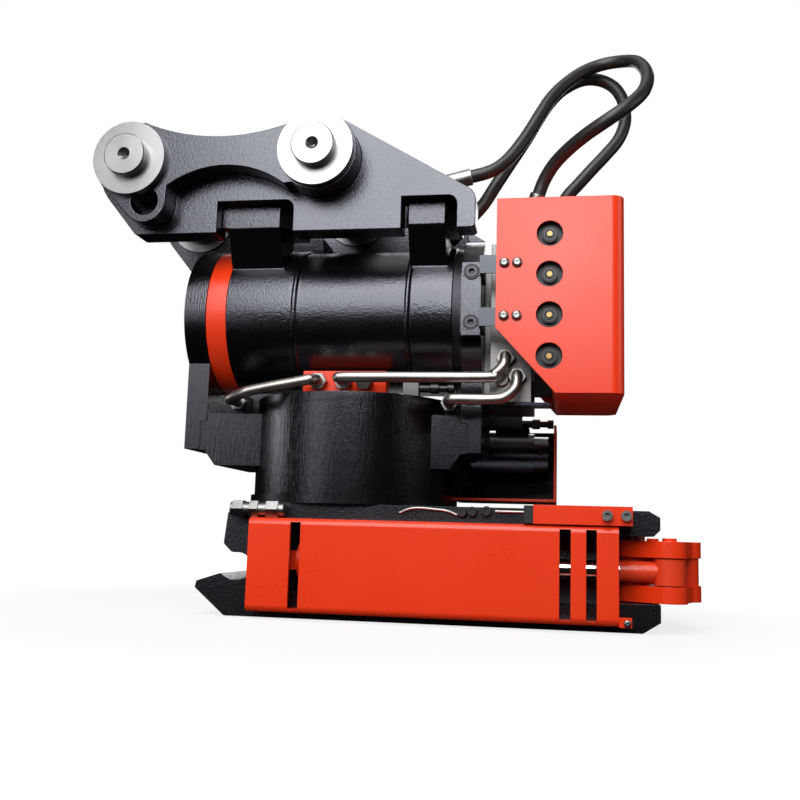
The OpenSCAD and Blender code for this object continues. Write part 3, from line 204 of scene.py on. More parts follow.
# %% A socket that does sums
class Wire:
    """One value in a material. Sums on it become Math nodes."""

    def __init__(self, tree, socket=None):
        self.tree = tree
        self.socket = socket

    def node(self, kind, settings=None, inputs=None, out=0):
        """Adds a node: its settings are set first, then the values or wires of its sockets."""
        made = self.tree.nodes.new(kind)
        for key, value in (settings or {}).items():
            setattr(made, key, value)
        for key, value in (inputs or {}).items():
            if isinstance(value, Wire):
                self.tree.links.new(value.socket, made.inputs[key])
            else:
                made.inputs[key].default_value = value
        return Wire(self.tree, made.outputs[out] if len(made.outputs) else None)

    def sum(self, operation, a, b=0.0):
        """Math node with that operation on two values or wires."""
        return self.node("ShaderNodeMath", {"operation": operation}, {0: a, 1: b})

    def __add__(self, other):
        return self.sum("ADD", self, other)

    def __radd__(self, other):
        return self.sum("ADD", other, self)

    def __rsub__(self, other):
        return self.sum("SUBTRACT", other, self)

    def __mul__(self, other):
        return self.sum("MULTIPLY", self, other)

    def __rmul__(self, other):
        return self.sum("MULTIPLY", other, self)

    def noise(self, scale, detail=2.0):
        """Cloudy value of 0 to 1 on this position; scale is patches per metre."""
        return self.node("ShaderNodeTexNoise", {}, {"Vector": self, "Scale": scale, "Detail": detail})

    def axis(self, name):
        """The X, Y or Z part of this position."""
        return self.node("ShaderNodeSeparateXYZ", {}, {"Vector": self}, name)

    def clamp(self, low, high):
        """0 below low, 1 above high, and a straight ramp between."""
        limits = {"Value": self, "From Min": low, "From Max": high}
        return self.node("ShaderNodeMapRange", {"clamp": True}, limits)

    def blend(self, dark, light):
        """Colour between two, by this value. The node's colour sockets are 6 and 7, and its output 2."""
        return self.node("ShaderNodeMix", {"data_type": "RGBA"}, {0: self, 6: dark, 7: light}, 2)


def new_finish(name):
    """An empty material and the wire for a point's position on the piece."""
    material = bpy.data.materials.new(name)
    material.use_nodes = True
    material.node_tree.nodes.clear()
    spot = Wire(material.node_tree).node("ShaderNodeTexCoord", out="Object")
    return material, spot


def surface(spot, inputs, height=None, depth=0.0):
    """Principled shader with an optional bump of that height pattern, wired to the material's output."""
    if height is not None:
        bump = {"Strength": 1.0, "Distance": depth, "Height": height}
        inputs["Normal"] = spot.node("ShaderNodeBump", {}, bump)
    shader = spot.node("ShaderNodeBsdfPrincipled", {}, inputs)
    spot.node("ShaderNodeOutputMaterial", {}, {"Surface": shader})


print("shader helpers ready")

# %% [markdown]
# ## Paints
# Castings and plates are brushed or sprayed in black machine paint, and the guards and the box in red. Up
# close the paint has an orange-peel skin over a grainy casting, with upright brush marks on the drum and the
# yoke. One noise makes the grain, a finer one the peel, a stretched one the brush marks, and a broad one
# moves the gloss. The blacks have hardly any colour of their own: what is seen in them is the reflection, so
# they have a high index of refraction and a cool tint.

# %% Paint
CLOUDS_PER_M = 9.0
GRAIN_PER_M = 360.0
PEEL_PER_M = 900.0
MARKS_PER_M = 520.0
BRUSH_PULL = 0.08
SKIN_MM = 0.4
CLOUD_ROUGH = 0.12
GRAIN_ROUGH = 0.06


def paint(name, dark, light, gloss, grain_mm, peel_mm, index, tint=(1, 1, 1, 1), brush_mm=0.0):
    """Broad clouds shift the colour and the gloss; grain, peel and upright brush marks make the skin."""
    material, spot = new_finish(name)
    cloud = spot.noise(CLOUDS_PER_M, 3.0)
    grain = spot.noise(GRAIN_PER_M)
    peel = spot.noise(PEEL_PER_M, 1.0)
    height = grain * (grain_mm / SKIN_MM) + peel * (peel_mm / SKIN_MM)
    if brush_mm:
        stretched = spot.node("ShaderNodeMapping", {}, {"Vector": spot, "Scale": (1.0, 1.0, BRUSH_PULL)})
        height = height + stretched.noise(MARKS_PER_M) * (brush_mm / SKIN_MM)
    surface(spot, {
        "Base Color": cloud.blend(dark, light),
        "Roughness": gloss + CLOUD_ROUGH * cloud + GRAIN_ROUGH * grain,
        "IOR": index,
        "Specular Tint": tint,
    }, height, SKIN_MM * MM)
    return material


COOL = (0.86, 0.88, 1.0, 1)
BLACK = (0.0012, 0.0012, 0.0016, 1)
BLACK_DUSTY = (0.003, 0.003, 0.004, 1)
DEEP = (0.001, 0.001, 0.0013, 1)
DEEP_DUSTY = (0.0022, 0.0022, 0.003, 1)
RED = (0.80, 0.036, 0.004, 1)
RED_PALE = (0.86, 0.043, 0.006, 1)
black_paint = paint("black_paint", BLACK, BLACK_DUSTY, gloss=0.18, grain_mm=0.26, peel_mm=0.06,
                    index=1.9, tint=COOL)
cast_black = paint("cast_black_paint", DEEP, DEEP_DUSTY, gloss=0.13, grain_mm=0.50, peel_mm=0.05,
                   index=1.76, tint=COOL)
brushed_black = paint("brushed_black_paint", DEEP, DEEP_DUSTY, gloss=0.13, grain_mm=0.15, peel_mm=0.04,
                      index=1.76, tint=COOL, brush_mm=0.40)
red_paint = paint("red_paint", RED, RED_PALE, gloss=0.20, grain_mm=0.012, peel_mm=0.012, index=1.5)
print("paints:", black_paint.name, cast_black.name, brushed_black.name, red_paint.name)

# %% [markdown]
# ## Red edges, black beyond
# The sheet guard round the motor is red on its front edge. Inside, it lies in shadow, and that shade is
# painted in as near-black colour. The port blocks on the drum are red on top of the lid and black at the two
# arms. One mask does both jobs: it compares a coordinate with two limits and mixes the two colours by the
# answer.

# %% Red edge with painted shade, and two-tone paint
SOFT_MM = 0.2
SHEET_GLOSS = 0.22
SHEET_INDEX = 1.5
SHEET_PEEL_PER_M = 700.0
SHEET_PEEL_MM = 0.02
# Black paint on the port blocks; inside the motor guard this colour is painted shade.
BLACK_PAINT_AND_PAINTED_SHADE = (0.002, 0.0018, 0.002, 1)
EDGE_RED = (0.82, 0.040, 0.005, 1)


def red_band_dark_beyond(name, letter, low_mm, high_mm):
    """Red between two places on an axis, black beyond them: black paint on the port blocks, painted shade
    inside the guard.
    """
    material, spot = new_finish(name)
    place_on = spot.axis(letter)
    above = place_on.clamp((low_mm - SOFT_MM) * MM, (low_mm + SOFT_MM) * MM)
    below = 1.0 - place_on.clamp((high_mm - SOFT_MM) * MM, (high_mm + SOFT_MM) * MM)
    cloud = spot.noise(CLOUDS_PER_M, 3.0)
    surface(spot, {
        # Beyond the red band: black paint on the port blocks, painted shade inside the guard.
        "Base Color": (above * below).blend(BLACK_PAINT_AND_PAINTED_SHADE, EDGE_RED),
        "Roughness": SHEET_GLOSS + CLOUD_ROUGH * cloud,
        "IOR": SHEET_INDEX,
    }, spot.noise(SHEET_PEEL_PER_M, 1.0), SHEET_PEEL_MM * MM)
    return material


GUARD_EDGE_MM = 5.0
PORT_HALF_MM = 100.0
guard_front_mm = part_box("motor_guard")[0][1] / MM
# Red only on the front edge; the rest of the guard is near-black colour, painted shade for its shadowed
# inside.
guard_red_and_painted_shade = red_band_dark_beyond("guard_red_and_painted_shade", "Y", guard_front_mm - 1.0, guard_front_mm + GUARD_EDGE_MM)
port_paint = red_band_dark_beyond("port_paint", "X", -PORT_HALF_MM, PORT_HALF_MM)
print("guard edge at", round(guard_front_mm, 1), "mm")

# %% [markdown]
# ## Bare metals
# The pins were faced on a lathe, which leaves fine rings round the axis. The rings come from the distance
# to that axis, so each turned piece gets its own centre. Plated fittings have no rings, only a mottled
# sheen.

# %% Metals
LATHE_WAVES_PER_M = 5200.0
LATHE_MM = 0.02
STREAKS_PER_M = 900.0
WANDER_PER_M = 40.0
WANDER = 0.3
DARK_STREAK = 0.8
MOTTLE_PER_M = 60.0
FINE_PER_M = 1200.0
FINE_MM = 0.03
PIN_GREY = (0.38, 0.375, 0.385, 1)
SHEEN_ROUGH = 0.16


def from_axis(spot, centre_mm, along):
    """Distance of a point from an axis through the centre."""
    flat = [0.0 if letter == along else 1.0 for letter in "XYZ"]
    offset = spot.node("ShaderNodeVectorMath", {"operation": "SUBTRACT"},
                       {0: spot, 1: [c * MM for c in centre_mm]})
    radial = spot.node("ShaderNodeVectorMath", {"operation": "MULTIPLY"}, {0: offset, 1: flat})
    return spot.node("ShaderNodeVectorMath", {"operation": "LENGTH"}, {0: radial}, "Value")


def turned_steel(name, centres_mm, along, colour=PIN_GREY, rough=0.24):
    """Lathe-turned steel: rings by sin(k r), with r the distance from the nearest of some axes."""
    material, spot = new_finish(name)
    radius = from_axis(spot, centres_mm[0], along)
    for centre_mm in centres_mm[1:]:
        radius = spot.sum("MINIMUM", radius, from_axis(spot, centre_mm, along))
    rings = spot.sum("SINE", radius * LATHE_WAVES_PER_M)
    streaks = radius * STREAKS_PER_M + spot.noise(WANDER_PER_M) * WANDER
    tone = spot.node("ShaderNodeTexNoise", {"noise_dimensions": "1D"}, {"W": streaks, "Detail": 3.0})
    dark = tuple(DARK_STREAK * c for c in colour[:3]) + (1,)
    surface(spot, {
        "Base Color": tone.blend(dark, colour),
        "Metallic": 1.0,
        "Roughness": rough + SHEEN_ROUGH * tone,
    }, rings, LATHE_MM * MM)
    return material


def plated(name, dark, light, rough):
    """Plated or drawn metal: a mottled sheen from two noises."""
    material, spot = new_finish(name)
    mottle = spot.noise(MOTTLE_PER_M, 3.0)
    fine = spot.noise(FINE_PER_M, 1.0)
    surface(spot, {
        "Base Color": mottle.blend(dark, light),
        "Metallic": 1.0,
        "Roughness": rough + SHEEN_ROUGH * mottle,
    }, fine, FINE_MM * MM)
    return material


def middle(node):
    """Centre of a solid's box, in millimetres."""
    low, high = (np.array(corner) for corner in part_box(node))
    return (low + high) / 2 / MM


front_pin = middle("front_hitch_pin")
rear_pin = middle("rear_hitch_pin")
tilt_axis = middle("tilt_shaft")
pin_steel = turned_steel("pin_steel", (front_pin, rear_pin), "Y")
shaft_steel = turned_steel("shaft_steel", (tilt_axis,), "X")
dark_steel = turned_steel("dark_steel", (tilt_axis,), "X", (0.045, 0.045, 0.050, 1), 0.34)
drawn_steel = plated("drawn_steel", (0.40, 0.375, 0.35, 1), (0.54, 0.51, 0.48, 1), 0.30)
zinc = plated("zinc", (0.24, 0.24, 0.235, 1), (0.40, 0.40, 0.39, 1), 0.28)
cast_zinc = plated("cast_zinc", (0.18, 0.175, 0.17, 1), (0.30, 0.29, 0.285, 1), 0.36)
grey_steel = plated("grey_steel", (0.07, 0.075, 0.085, 1), (0.11, 0.115, 0.13, 1), 0.34)
black_oxide = plated("black_oxide", (0.030, 0.030, 0.032, 1), (0.075, 0.075, 0.080, 1), 0.30)
bronze = plated("bronze", (0.36, 0.20, 0.08, 1), (0.52, 0.32, 0.14, 1), 0.28)
brass = plated("brass", (0.26, 0.16, 0.06, 1), (0.38, 0.25, 0.10, 1), 0.26)
print("pins at", front_pin.round(1), rear_pin.round(1))

# %% [markdown]
# ## Two-tone rods, plastic and rubber
# Each gripper rod is hard chrome where it slides and painted at its eye. A mask on X splits the two: it is
# 0 on the chrome and 1 on the paint. Valve coils are moulded plastic, and a hose has a dull rubber cover.

# %% Rods, plastic and rubber
EYE_PAINT_MM = 377.0
NECK_MM = 0.5
SMEARS_PER_M = 50.0
CHROME_ROUGH = 0.08
SMEAR_ROUGH = 0.08
EYE_ROUGH = 0.18
DUST_PER_M = 30.0
DULL_GRAIN_PER_M = 700.0
CHROME = (0.74, 0.75, 0.76, 1)
EYE_RED = (0.76, 0.05, 0.012, 1)


def chrome_rod(name):
    """Chrome up to the neck, paint beyond it, split by X."""
    material, spot = new_finish(name)
    painted = spot.axis("X").clamp((EYE_PAINT_MM - NECK_MM) * MM, (EYE_PAINT_MM + NECK_MM) * MM)
    smear = spot.noise(SMEARS_PER_M)
    surface(spot, {
        "Base Color": painted.blend(CHROME, EYE_RED),
        "Metallic": 1.0 - painted,
        "Roughness": CHROME_ROUGH + SMEAR_ROUGH * smear + EYE_ROUGH * painted,
    })
    return material


def dull(name, dark, light, rough, grain_mm):
    """Matt plastic or rubber with a fine grain."""
    material, spot = new_finish(name)
    cloud = spot.noise(DUST_PER_M, 3.0)
    grain = spot.noise(DULL_GRAIN_PER_M)
    surface(spot, {
        "Base Color": cloud.blend(dark, light),
        "Roughness": rough + CLOUD_ROUGH * cloud,
    }, grain, grain_mm * MM)
    return material


rod_chrome = chrome_rod("rod_chrome")
coil_plastic = dull("coil_plastic", (0.010, 0.010, 0.011, 1), (0.022, 0.022, 0.024, 1), 0.38, 0.10)
hose_rubber = dull("hose_rubber", (0.010, 0.010, 0.010, 1), (0.022, 0.021, 0.020, 1), 0.36, 0.08)
grey_plastic = dull("grey_plastic", (0.16, 0.16, 0.16, 1), (0.24, 0.24, 0.24, 1), 0.42, 0.08)
print("finishes made:", len(bpy.data.materials))

# %% [markdown]
# ## Hoses
# Two hydraulic hoses climb from the ports on the tilt actuator, turn over in a loop and come down to the
# valve box. Their routes are points listed along the hose, as in the solid model, with a smooth curve
# through them. Tilting moves one end against the other, but these hoses ride on neither body and stay
# as built.

# %% Hoses
HOSE_D_MM = 19.0
HOSE_BASE_MM = 540.2
HOSE_ROUTES_MM = {
    "hose_near": [
        (172, -70, 91), (193, -70, 96), (211, -66, 106), (229, -58, 126), (250, -45, 161), (270, -28, 203),
        (285, -12, 234), (304, 4, 261), (330, 20, 287), (359, 28, 302), (388, 20, 302), (410, -4, 288),
        (420, -40, 257), (420, -76, 223), (410, -106, 190), (388, -124, 163), (362, -126, 144),
        (336, -114, 131), (311, -95, 118), (290, -76, 103), (276, -64, 84), (268, -60, 64)],
    "hose_far": [
        (153, -24, 29), (169, -24, 45), (187, -24, 66), (203, -22, 93), (219, -17, 121), (247, -5, 171),
        (268, 10, 215), (284, 22, 244), (303, 34, 268), (331, 46, 287), (357, 54, 290), (379, 56, 279),
        (392, 50, 256), (396, 40, 228), (394, 30, 202), (384, 20, 175), (366, 12, 150), (346, 6, 126),
        (326, 2, 102), (309, 0, 82), (300, 0, 64)],
}
HOSE_SIDES = 24


def above_bands(points):
    """Points measured from the top of the actuator's bands, in metres from the sole."""
    return (np.array(points, dtype=float) + (0.0, 0.0, HOSE_BASE_MM)) * MM


for node, route in HOSE_ROUTES_MM.items():
    line = smooth_path(above_bands(route), steps=8)
    grid = tube(line, HOSE_D_MM / 2 * MM, (0.0, 1.0, 0.0), HOSE_SIDES)
    hose = skin(node + "_cover", [grid], hose_rubber, None)
    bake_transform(hose)
    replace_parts(hose, node)

# %% [markdown]
# ## Crimped hose ends
# A hose end is a steel sleeve squeezed on in a press, which leaves a row of dents with ridges between them.
# Each sleeve is turned about the hose's own direction at its end, and its profile follows the dents.

# %% Crimped sleeves
SLEEVE_R_MM = 12.2
SLEEVE_L_MM = 25.0
SLEEVE_SPAN = (0.02, 0.98)
CRIMPS = 4
CRIMP_MM = 0.7
ROWS_PER_CRIMP = 8


def sleeve(end, away):
    """Profile r = R - c (1 + cos(2 pi n t)) / 2, for n crimps c deep and t the share of the length."""
    t = np.linspace(*SLEEVE_SPAN, ROWS_PER_CRIMP * CRIMPS + 1)
    dip = CRIMP_MM * (1 + np.cos(2 * np.pi * CRIMPS * t)) / 2
    profile_mm = np.stack([t * SLEEVE_L_MM, SLEEVE_R_MM - dip], axis=1)
    return turned(end, away, profile_mm * MM, columns=24)


port_sleeves = []
box_sleeves = []
for route in HOSE_ROUTES_MM.values():
    ends = above_bands(route)
    port_sleeves.append(sleeve(ends[0], ends[0] - ends[1]))
    box_sleeves.append(sleeve(ends[-1], ends[-1] - ends[-2]))
skin("port_sleeves", port_sleeves, zinc, "upper_hitch")
skin("box_sleeves", box_sleeves, zinc, "yoke")
print(len(port_sleeves) + len(box_sleeves), "sleeves")

# %% [markdown]
# ## Pipes
# Three bent steel pipes join the swivel, the arms and the valve box. A pipe bender leaves round bends
# between straight runs, so a smooth curve through a few points on each bend is enough.

# %% Pipes
PIPE_D_MM = 15.0
PIPE_ROUTES_MM = [
    [(-36, -108, 325.2), (-36, -116, 325.2), (-41, -123, 324.2), (-50, -128, 322.2), (-120, -128, 309.2),
     (-140, -127, 303.2), (-159, -117, 297.2), (-158, -103, 297.2), (-158, -91, 297.2)],
    [(0, -108, 325.2), (0, -116, 325.2), (5, -123, 326.2), (14, -128, 327.2), (197, -128, 327.2),
     (213, -128, 331.2), (224, -128, 341.2), (227, -126, 349.2), (227, -120, 357.2), (227, -112, 357.2)],
    [(149, -91, 297.2), (149, -103, 297.2), (154, -123, 297.2), (163, -128, 297.2), (213, -128, 297.2),
     (229, -128, 301.2), (240, -128, 311.2), (243, -126, 319.2), (243, -120, 331.2), (243, -112, 331.2)],
]
pipe_lines = [smooth_path(np.array(route) * MM, steps=10) for route in PIPE_ROUTES_MM]
pipe_grids = [tube(line, PIPE_D_MM / 2 * MM, (1.0, 1.0, 1.0), columns=24) for line in pipe_lines]
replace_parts(skin("bent_pipes", pipe_grids, drawn_steel, "yoke"), "steel_pipes")
print(len(pipe_grids), "pipes")

# %% [markdown]
# ## Turned pins
# Each hitch pin is one turned bar: a thick middle, a seat for the collar, a stub and a lathe centre drilled
# in the end. Half of the profile is listed from the end inwards, and the other half is its mirror image.

# %% Pins
PIN_HALF_MM = [(193.0, 3.9), (200.0, 4.0), (205.0, 9.0), (205.0, 28.6), (203.6, 30.0), (190.0, 30.0),
               (190.0, 32.0), (178.0, 32.0), (178.0, 40.0)]
half_profile = np.array(PIN_HALF_MM) * (-1.0, 1.0)
whole_profile = np.vstack([half_profile, half_profile[::-1] * (-1.0, 1.0)])
for node, centre in (("front_hitch_pin", front_pin), ("rear_hitch_pin", rear_pin)):
    bar = turned(centre * MM, (0.0, 1.0, 0.0), whole_profile * MM, columns=96)
    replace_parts(skin(node + "_turned", [bar], pin_steel, "upper_hitch"), node)
print("pins", round(whole_profile[:, 0].max() * 2), "mm long")

# %% [markdown]
# ## Button heads and valve ends
# The cover is held by button-head screws, low domes with a socket in the middle, turned here as a profile
# that runs from the rim over the top and down into the socket. Each valve in a round window ends in a thin
# blackened nut with a brass pin in it. A nut is a ring, so its profile is joined end to end, not filled.

# %% Button heads and valve nuts
BUTTON_MM = np.array([(0.0, 7.0), (1.2, 7.0), (2.8, 6.2), (3.9, 4.9), (4.4, 3.6), (4.4, 2.9), (2.0, 2.7)])
SCREW_X_MM = (11.0, 28.0)
SCREW_Z_MM = (-25.5, 46.5)
NUT_MM = np.array([(0.0, 9.0), (1.2, 8.6), (1.2, 6.4), (0.6, 6.0), (1.4, 5.4), (1.4, 4.0), (0.0, 3.8)])
cover_low, cover_high = (np.array(corner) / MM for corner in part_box("valve_cover"))
heads = []
for x in SCREW_X_MM:
    for z in SCREW_Z_MM:
        for y, out in ((cover_low[1], -1), (cover_high[1], 1)):
            seat = np.array([cover_low[0] + x, y, tilt_axis[2] + z]) * MM
            heads.append(turned(seat, (0, out, 0), BUTTON_MM * MM, columns=24))
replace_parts(skin("button_heads", heads, zinc, "yoke"), "cover_screws")
valve_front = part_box("solenoid_valves")[0][1]
nuts = []
for number in range(1, 5):
    x, _, z = middle(f"override_pin_{number}") * MM
    nuts.append(turned((x, valve_front, z), (0, -1, 0), NUT_MM * MM, columns=32))
skin("valve_nuts", nuts, black_oxide, "yoke", ring=True)
print(len(heads), "button heads,", len(nuts), "valve nuts")

# %% [markdown]
# ## Weld beads
# The two bands are sleeves shrunk on the actuator's tube and welded at their edges. A bead is a thin ring
# with a round section, so it is turned about the tube's axis from a circle of points and joined end to end.

# %% Weld beads
# Each bead: its place on X, the radius of the ring and half its thickness.
BEADS_MM = ((-76.0, 105.5, 5.0), (88.0, 105.2, 4.2))
angle = np.linspace(0, 2 * np.pi, 16, endpoint=False)
beads = []
for x, radius, thick in BEADS_MM:
    section = np.stack([thick * np.cos(angle), radius + thick * np.sin(angle)], axis=1)
    beads.append(turned(np.array((x, *tilt_axis[1:])) * MM, (1, 0, 0), section * MM, columns=96))
skin("weld_beads", beads, cast_black, "upper_hitch", ring=True)
print(len(beads), "weld beads")

# %% [markdown]
# ## Sloped flanks of the lugs
# Each lug of the actuator sits in a window of an ear plate, and its casting slopes back from the front face
# to the window's wall. Such a flank is a prism with three corners, so its grid is two rings of three points.

# %% Lug flanks
LUG_FACE_MM = 118.0
LUG_BACK_MM = 99.7
LUG_RISE_MM = (116.0, 149.0)
# Each flank runs on X from the lug's front edge to the window's wall.
FLANKS_MM = ((-98.0, -73.0), (141.0, 159.0), (88.0, 82.0))


def flank(face_x, wall_x, side):
    """Two rings of three corners: the lug's front edge, the window's wall and the corner behind the edge."""
    front = side * LUG_FACE_MM
    rear = side * LUG_BACK_MM
    levels = [tilt_axis[2] + rise for rise in LUG_RISE_MM]
    return np.array([[(face_x, front, z), (wall_x, rear, z), (face_x, rear, z)] for z in levels]) * MM


flanks = [flank(face_x, wall_x, side) for face_x, wall_x in FLANKS_MM for side in (-1, 1)]
skin("lug_flanks", flanks, cast_black, "upper_hitch")
print(len(flanks), "flanks")

# %% [markdown]
# ## Keyed joints
# Each arm of the drum is keyed into its yoke plate by a tongue, and a dark line runs along the joint. The
# two faces are flush, so a bevel hardly shows there. A thin bead along the tongue's outline draws the line.

# %% Joint lines
JOINT_FACE_MM = 80.0
JOINT_R_MM = 1.3
KEY_MM = 9.0
JOINT_Z_MM = (281.0, 270.2, 270.2, 228.2, 228.2, 226.5)
KEY_STEP = np.array((0, 0, 1, 1, 0, 0))
plate_edges_mm = ((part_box("rear_yoke_plate")[0][0] / MM, 1), (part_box("front_yoke_plate")[1][0] / MM, -1))
joint_lines = []
for edge, out in plate_edges_mm:
    for face in (-JOINT_FACE_MM, JOINT_FACE_MM):
        line = np.stack([edge + out * KEY_MM * KEY_STEP, np.full(len(JOINT_Z_MM), face), JOINT_Z_MM], axis=1)
        joint_lines.append(tube(line * MM, JOINT_R_MM * MM, (0.0, 1.0, 0.0), columns=10))
skin("joint_lines", joint_lines, coil_plastic, "yoke")
print(len(joint_lines), "joint lines")

# %% [markdown]
# ## Screws in the lock bar
# The two socket screws sit in counterbores. The rim of each head is bare, so it is bright. The counterbore
# round it lies in shade, and a thin matt black ring paints that shade in. Both are thin rings, turned from a
# closed profile about the screw's axis.

# %% Lock bar screws
RIM_MM = np.array([(0.0, 7.6), (1.0, 7.3), (1.0, 5.4), (0.0, 5.0)])
# Profile of the matt black ring that paints the shade in a counterbore.
COUNTERBORE_SHADE_MM = np.array([(0.0, 11.0), (0.7, 10.6), (0.7, 8.4), (0.0, 8.1)])
SCREW_RISE_MM = (-27.0, 44.0)
bar_low = np.array(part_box("lock_bar")[0]) / MM
rims = []
counterbore_shades = []
for rise in SCREW_RISE_MM:
    centre = np.array((middle("lock_bar")[0], bar_low[1], tilt_axis[2] + rise)) * MM
    rims.append(turned(centre, (0, -1, 0), RIM_MM * MM, columns=40))
    counterbore_shades.append(turned(centre, (0, -1, 0), COUNTERBORE_SHADE_MM * MM, columns=40))
skin("screw_rims", rims, grey_steel, "yoke", ring=True)
# A matt black ring in each counterbore: painted shade for the recess.
skin("counterbore_painted_shade", counterbore_shades, coil_plastic, "yoke", ring=True)
print(len(rims), "rims")

# %% [markdown]
# ## Small fittings
# A few small things sit on the drum's lid, on an arm, on the motor and beside the hitch: plugs, connectors,
# a thin line and a rod, a block at the end of the upper cover, and a tab with a screw under the guard. Each
# is a turned profile, a thin tube or a box, with its place read off the photo and set on the nearest face.

# %% Small fittings
OUTWARDS = (0.0, -1.0, 0.0)
ALONG = (1.0, 0.0, 0.0)
PLUG_MM = [(0.0, 9.0), (6.0, 9.0), (7.0, 8.0), (7.0, 6.2), (5.4, 5.6), (5.4, 3.6), (7.0, 3.0), (7.0, 1.0)]
FITTING_MM = [(0, 6), (16, 6), (17, 8), (28, 8), (29, 5), (40, 5), (41, 7), (50, 7)]
CAP_MM = [(0.0, 6.5), (6.0, 6.5), (8.0, 5.5), (8.0, 3.5), (6.5, 3.2)]
CAPS_MM = [(175, -138, 146), (188, -138, 147), (207, -138, 148)]
LINE_MM = [(92, -141, 143), (103, -141, 148), (116, -141, 150), (136, -141, 149), (155, -141, 147),
           (168, -141, 142)]
ROD_MM = [(218, -141, 148), (238, -141, 148), (259, -141, 148)]
LINE_R_MM = 1.6
TAB_SCREW_SIZE = 0.7


def stud(place_mm, axis, profile_mm, columns=32):
    """A lathe profile in millimetres, turned about an axis from a place in millimetres."""
    return turned(np.array(place_mm) * MM, axis, np.array(profile_mm) * MM, columns)


def box_mm(low_mm, high_mm):
    """A box between two corners in millimetres."""
    return brick(np.array(low_mm) * MM, np.array(high_mm) * MM)


thin_lines = [tube(smooth_path(np.array(route) * MM, steps=8), LINE_R_MM * MM, OUTWARDS, columns=12)
              for route in (LINE_MM, ROD_MM)]
tab_screw = stud((384.0, -168.0, 14.0), OUTWARDS, BUTTON_MM * TAB_SCREW_SIZE, columns=24)
SMALL_PIECES = [
    ("ringed_plug", [stud((222, -100, 328), OUTWARDS, PLUG_MM)], zinc, "yoke", "zinc"),
    ("lid_connector", [box_mm((80, -70, 305.4), (102, -50, 329))], grey_plastic, "yoke", "coil_black"),
    ("lid_fitting", [stud((102, -60, 322), ALONG, FITTING_MM)], black_oxide, "yoke", "coil_black"),
    ("grease_line", thin_lines, drawn_steel, "quick_hitch", "turned_steel"),
    ("round_caps", [stud(spot_mm, OUTWARDS, CAP_MM) for spot_mm in CAPS_MM],
     coil_plastic, "quick_hitch", "coil_black"),
    ("cover_end_block", [box_mm((256, -167, 133.5), (267.7, -139, 156))],
     coil_plastic, "quick_hitch", "coil_black"),
    ("arm_rib", [box_mm((-166, -46, 282), (-119, -34, 315))], brushed_black, "yoke", "black_paint"),
    ("motor_ports", [box_mm((181, 121, 285), (240, 150, 319))], brushed_black, "yoke", "black_paint"),
    ("motor_fitting", [stud((240, 130, 294), ALONG, FITTING_MM)], black_oxide, "yoke", "coil_black"),
    ("guard_tab", [box_mm((374.2, -168, 9), (389.5, -164, 21))], red_paint, "quick_hitch", "red_paint"),
    ("tab_screw", [tab_screw], zinc, "quick_hitch", "zinc"),
]
for name, grids, finish, body, slot in SMALL_PIECES:
    skin(name, grids, finish, body)
print(len(SMALL_PIECES), "small pieces placed")

# %% [markdown]
# ## Eased edges
# A solid model's edges are perfectly sharp, and a real casting's never are: a thin bright line runs along
# each one. A merged copy of the solid with a Bevel modifier gives that line, and weighted normals keep the
# broad faces flat beside it. The copy stands for the solid. Small and hidden solids only take a finish.

# %% Finishes and eased copies
body_of = {node: body for body, held in frame["record"]["behaviour"]["bodies"].items() for node in held}
MERGE_M = 2e-6
FLAT_DEG = 0.4
EASE_DEG = 24.0
EASE_SEGMENTS = 2
FACE_WEIGHT = 100


def eased(node, finish, ease_mm):
    """A merged copy of a solid, its sharp edges rounded over ease_mm."""
    work = bmesh.new()
    work.from_mesh(nodes[node].data)
    bmesh.ops.remove_doubles(work, verts=work.verts, dist=MERGE_M)
    bmesh.ops.dissolve_limit(work, angle_limit=np.radians(FLAT_DEG), verts=work.verts, edges=work.edges)
    mesh = bpy.data.meshes.new(node + "_eased")
    work.to_mesh(mesh)
    work.free()
    mesh.shade_smooth()
    mesh.materials.append(finish)
    piece = bpy.data.objects.new(node + "_eased", mesh)
    bpy.context.scene.collection.objects.link(piece)
    bevel = piece.modifiers.new("ease", "BEVEL")
    bevel.width = ease_mm * MM
    bevel.segments = EASE_SEGMENTS
    bevel.limit_method = "ANGLE"
    bevel.angle_limit = np.radians(EASE_DEG)
    flatten = piece.modifiers.new("flat_faces", "WEIGHTED_NORMAL")
    flatten.weight = FACE_WEIGHT
    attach(piece, body_of[node])
    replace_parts(piece, node)


# For each solid, its finish and the width of its eased edges in millimetres.
EASED = {
    "hitch_plate_near": (black_paint, 3.0), "hitch_plate_far": (black_paint, 3.0),
    "tilt_housing": (cast_black, 1.6), "tilt_end_ring": (red_paint, 1.2),
    "front_yoke_plate": (brushed_black, 3.0), "rear_yoke_plate": (brushed_black, 1.6),
    "lock_bar": (brushed_black, 1.0),
    "rotator_housing": (brushed_black, 1.6), "rotator_lid": (brushed_black, 1.2),
    "quick_hitch_body": (black_paint, 2.0), "hydraulic_motor": (brushed_black, 1.6),
    "cylinder_guard_near": (red_paint, 0.8), "cylinder_guard_far": (red_paint, 0.8),
    "top_cover": (red_paint, 0.8),
    "valve_cover": (red_paint, 0.9), "motor_guard": (guard_red_and_painted_shade, 0.8), "swivel_block": (port_paint, 1.2),
    "gripper_arm_near": (red_paint, 1.6), "gripper_arm_far": (red_paint, 1.6),
    "manifold_block": (cast_zinc, 1.0), "cover_tabs": (grey_steel, 0.6), "hose_port_block": (zinc, 0.8),
    "pipe_fittings": (zinc, 0.8), "inline_fitting": (zinc, 0.8),
}
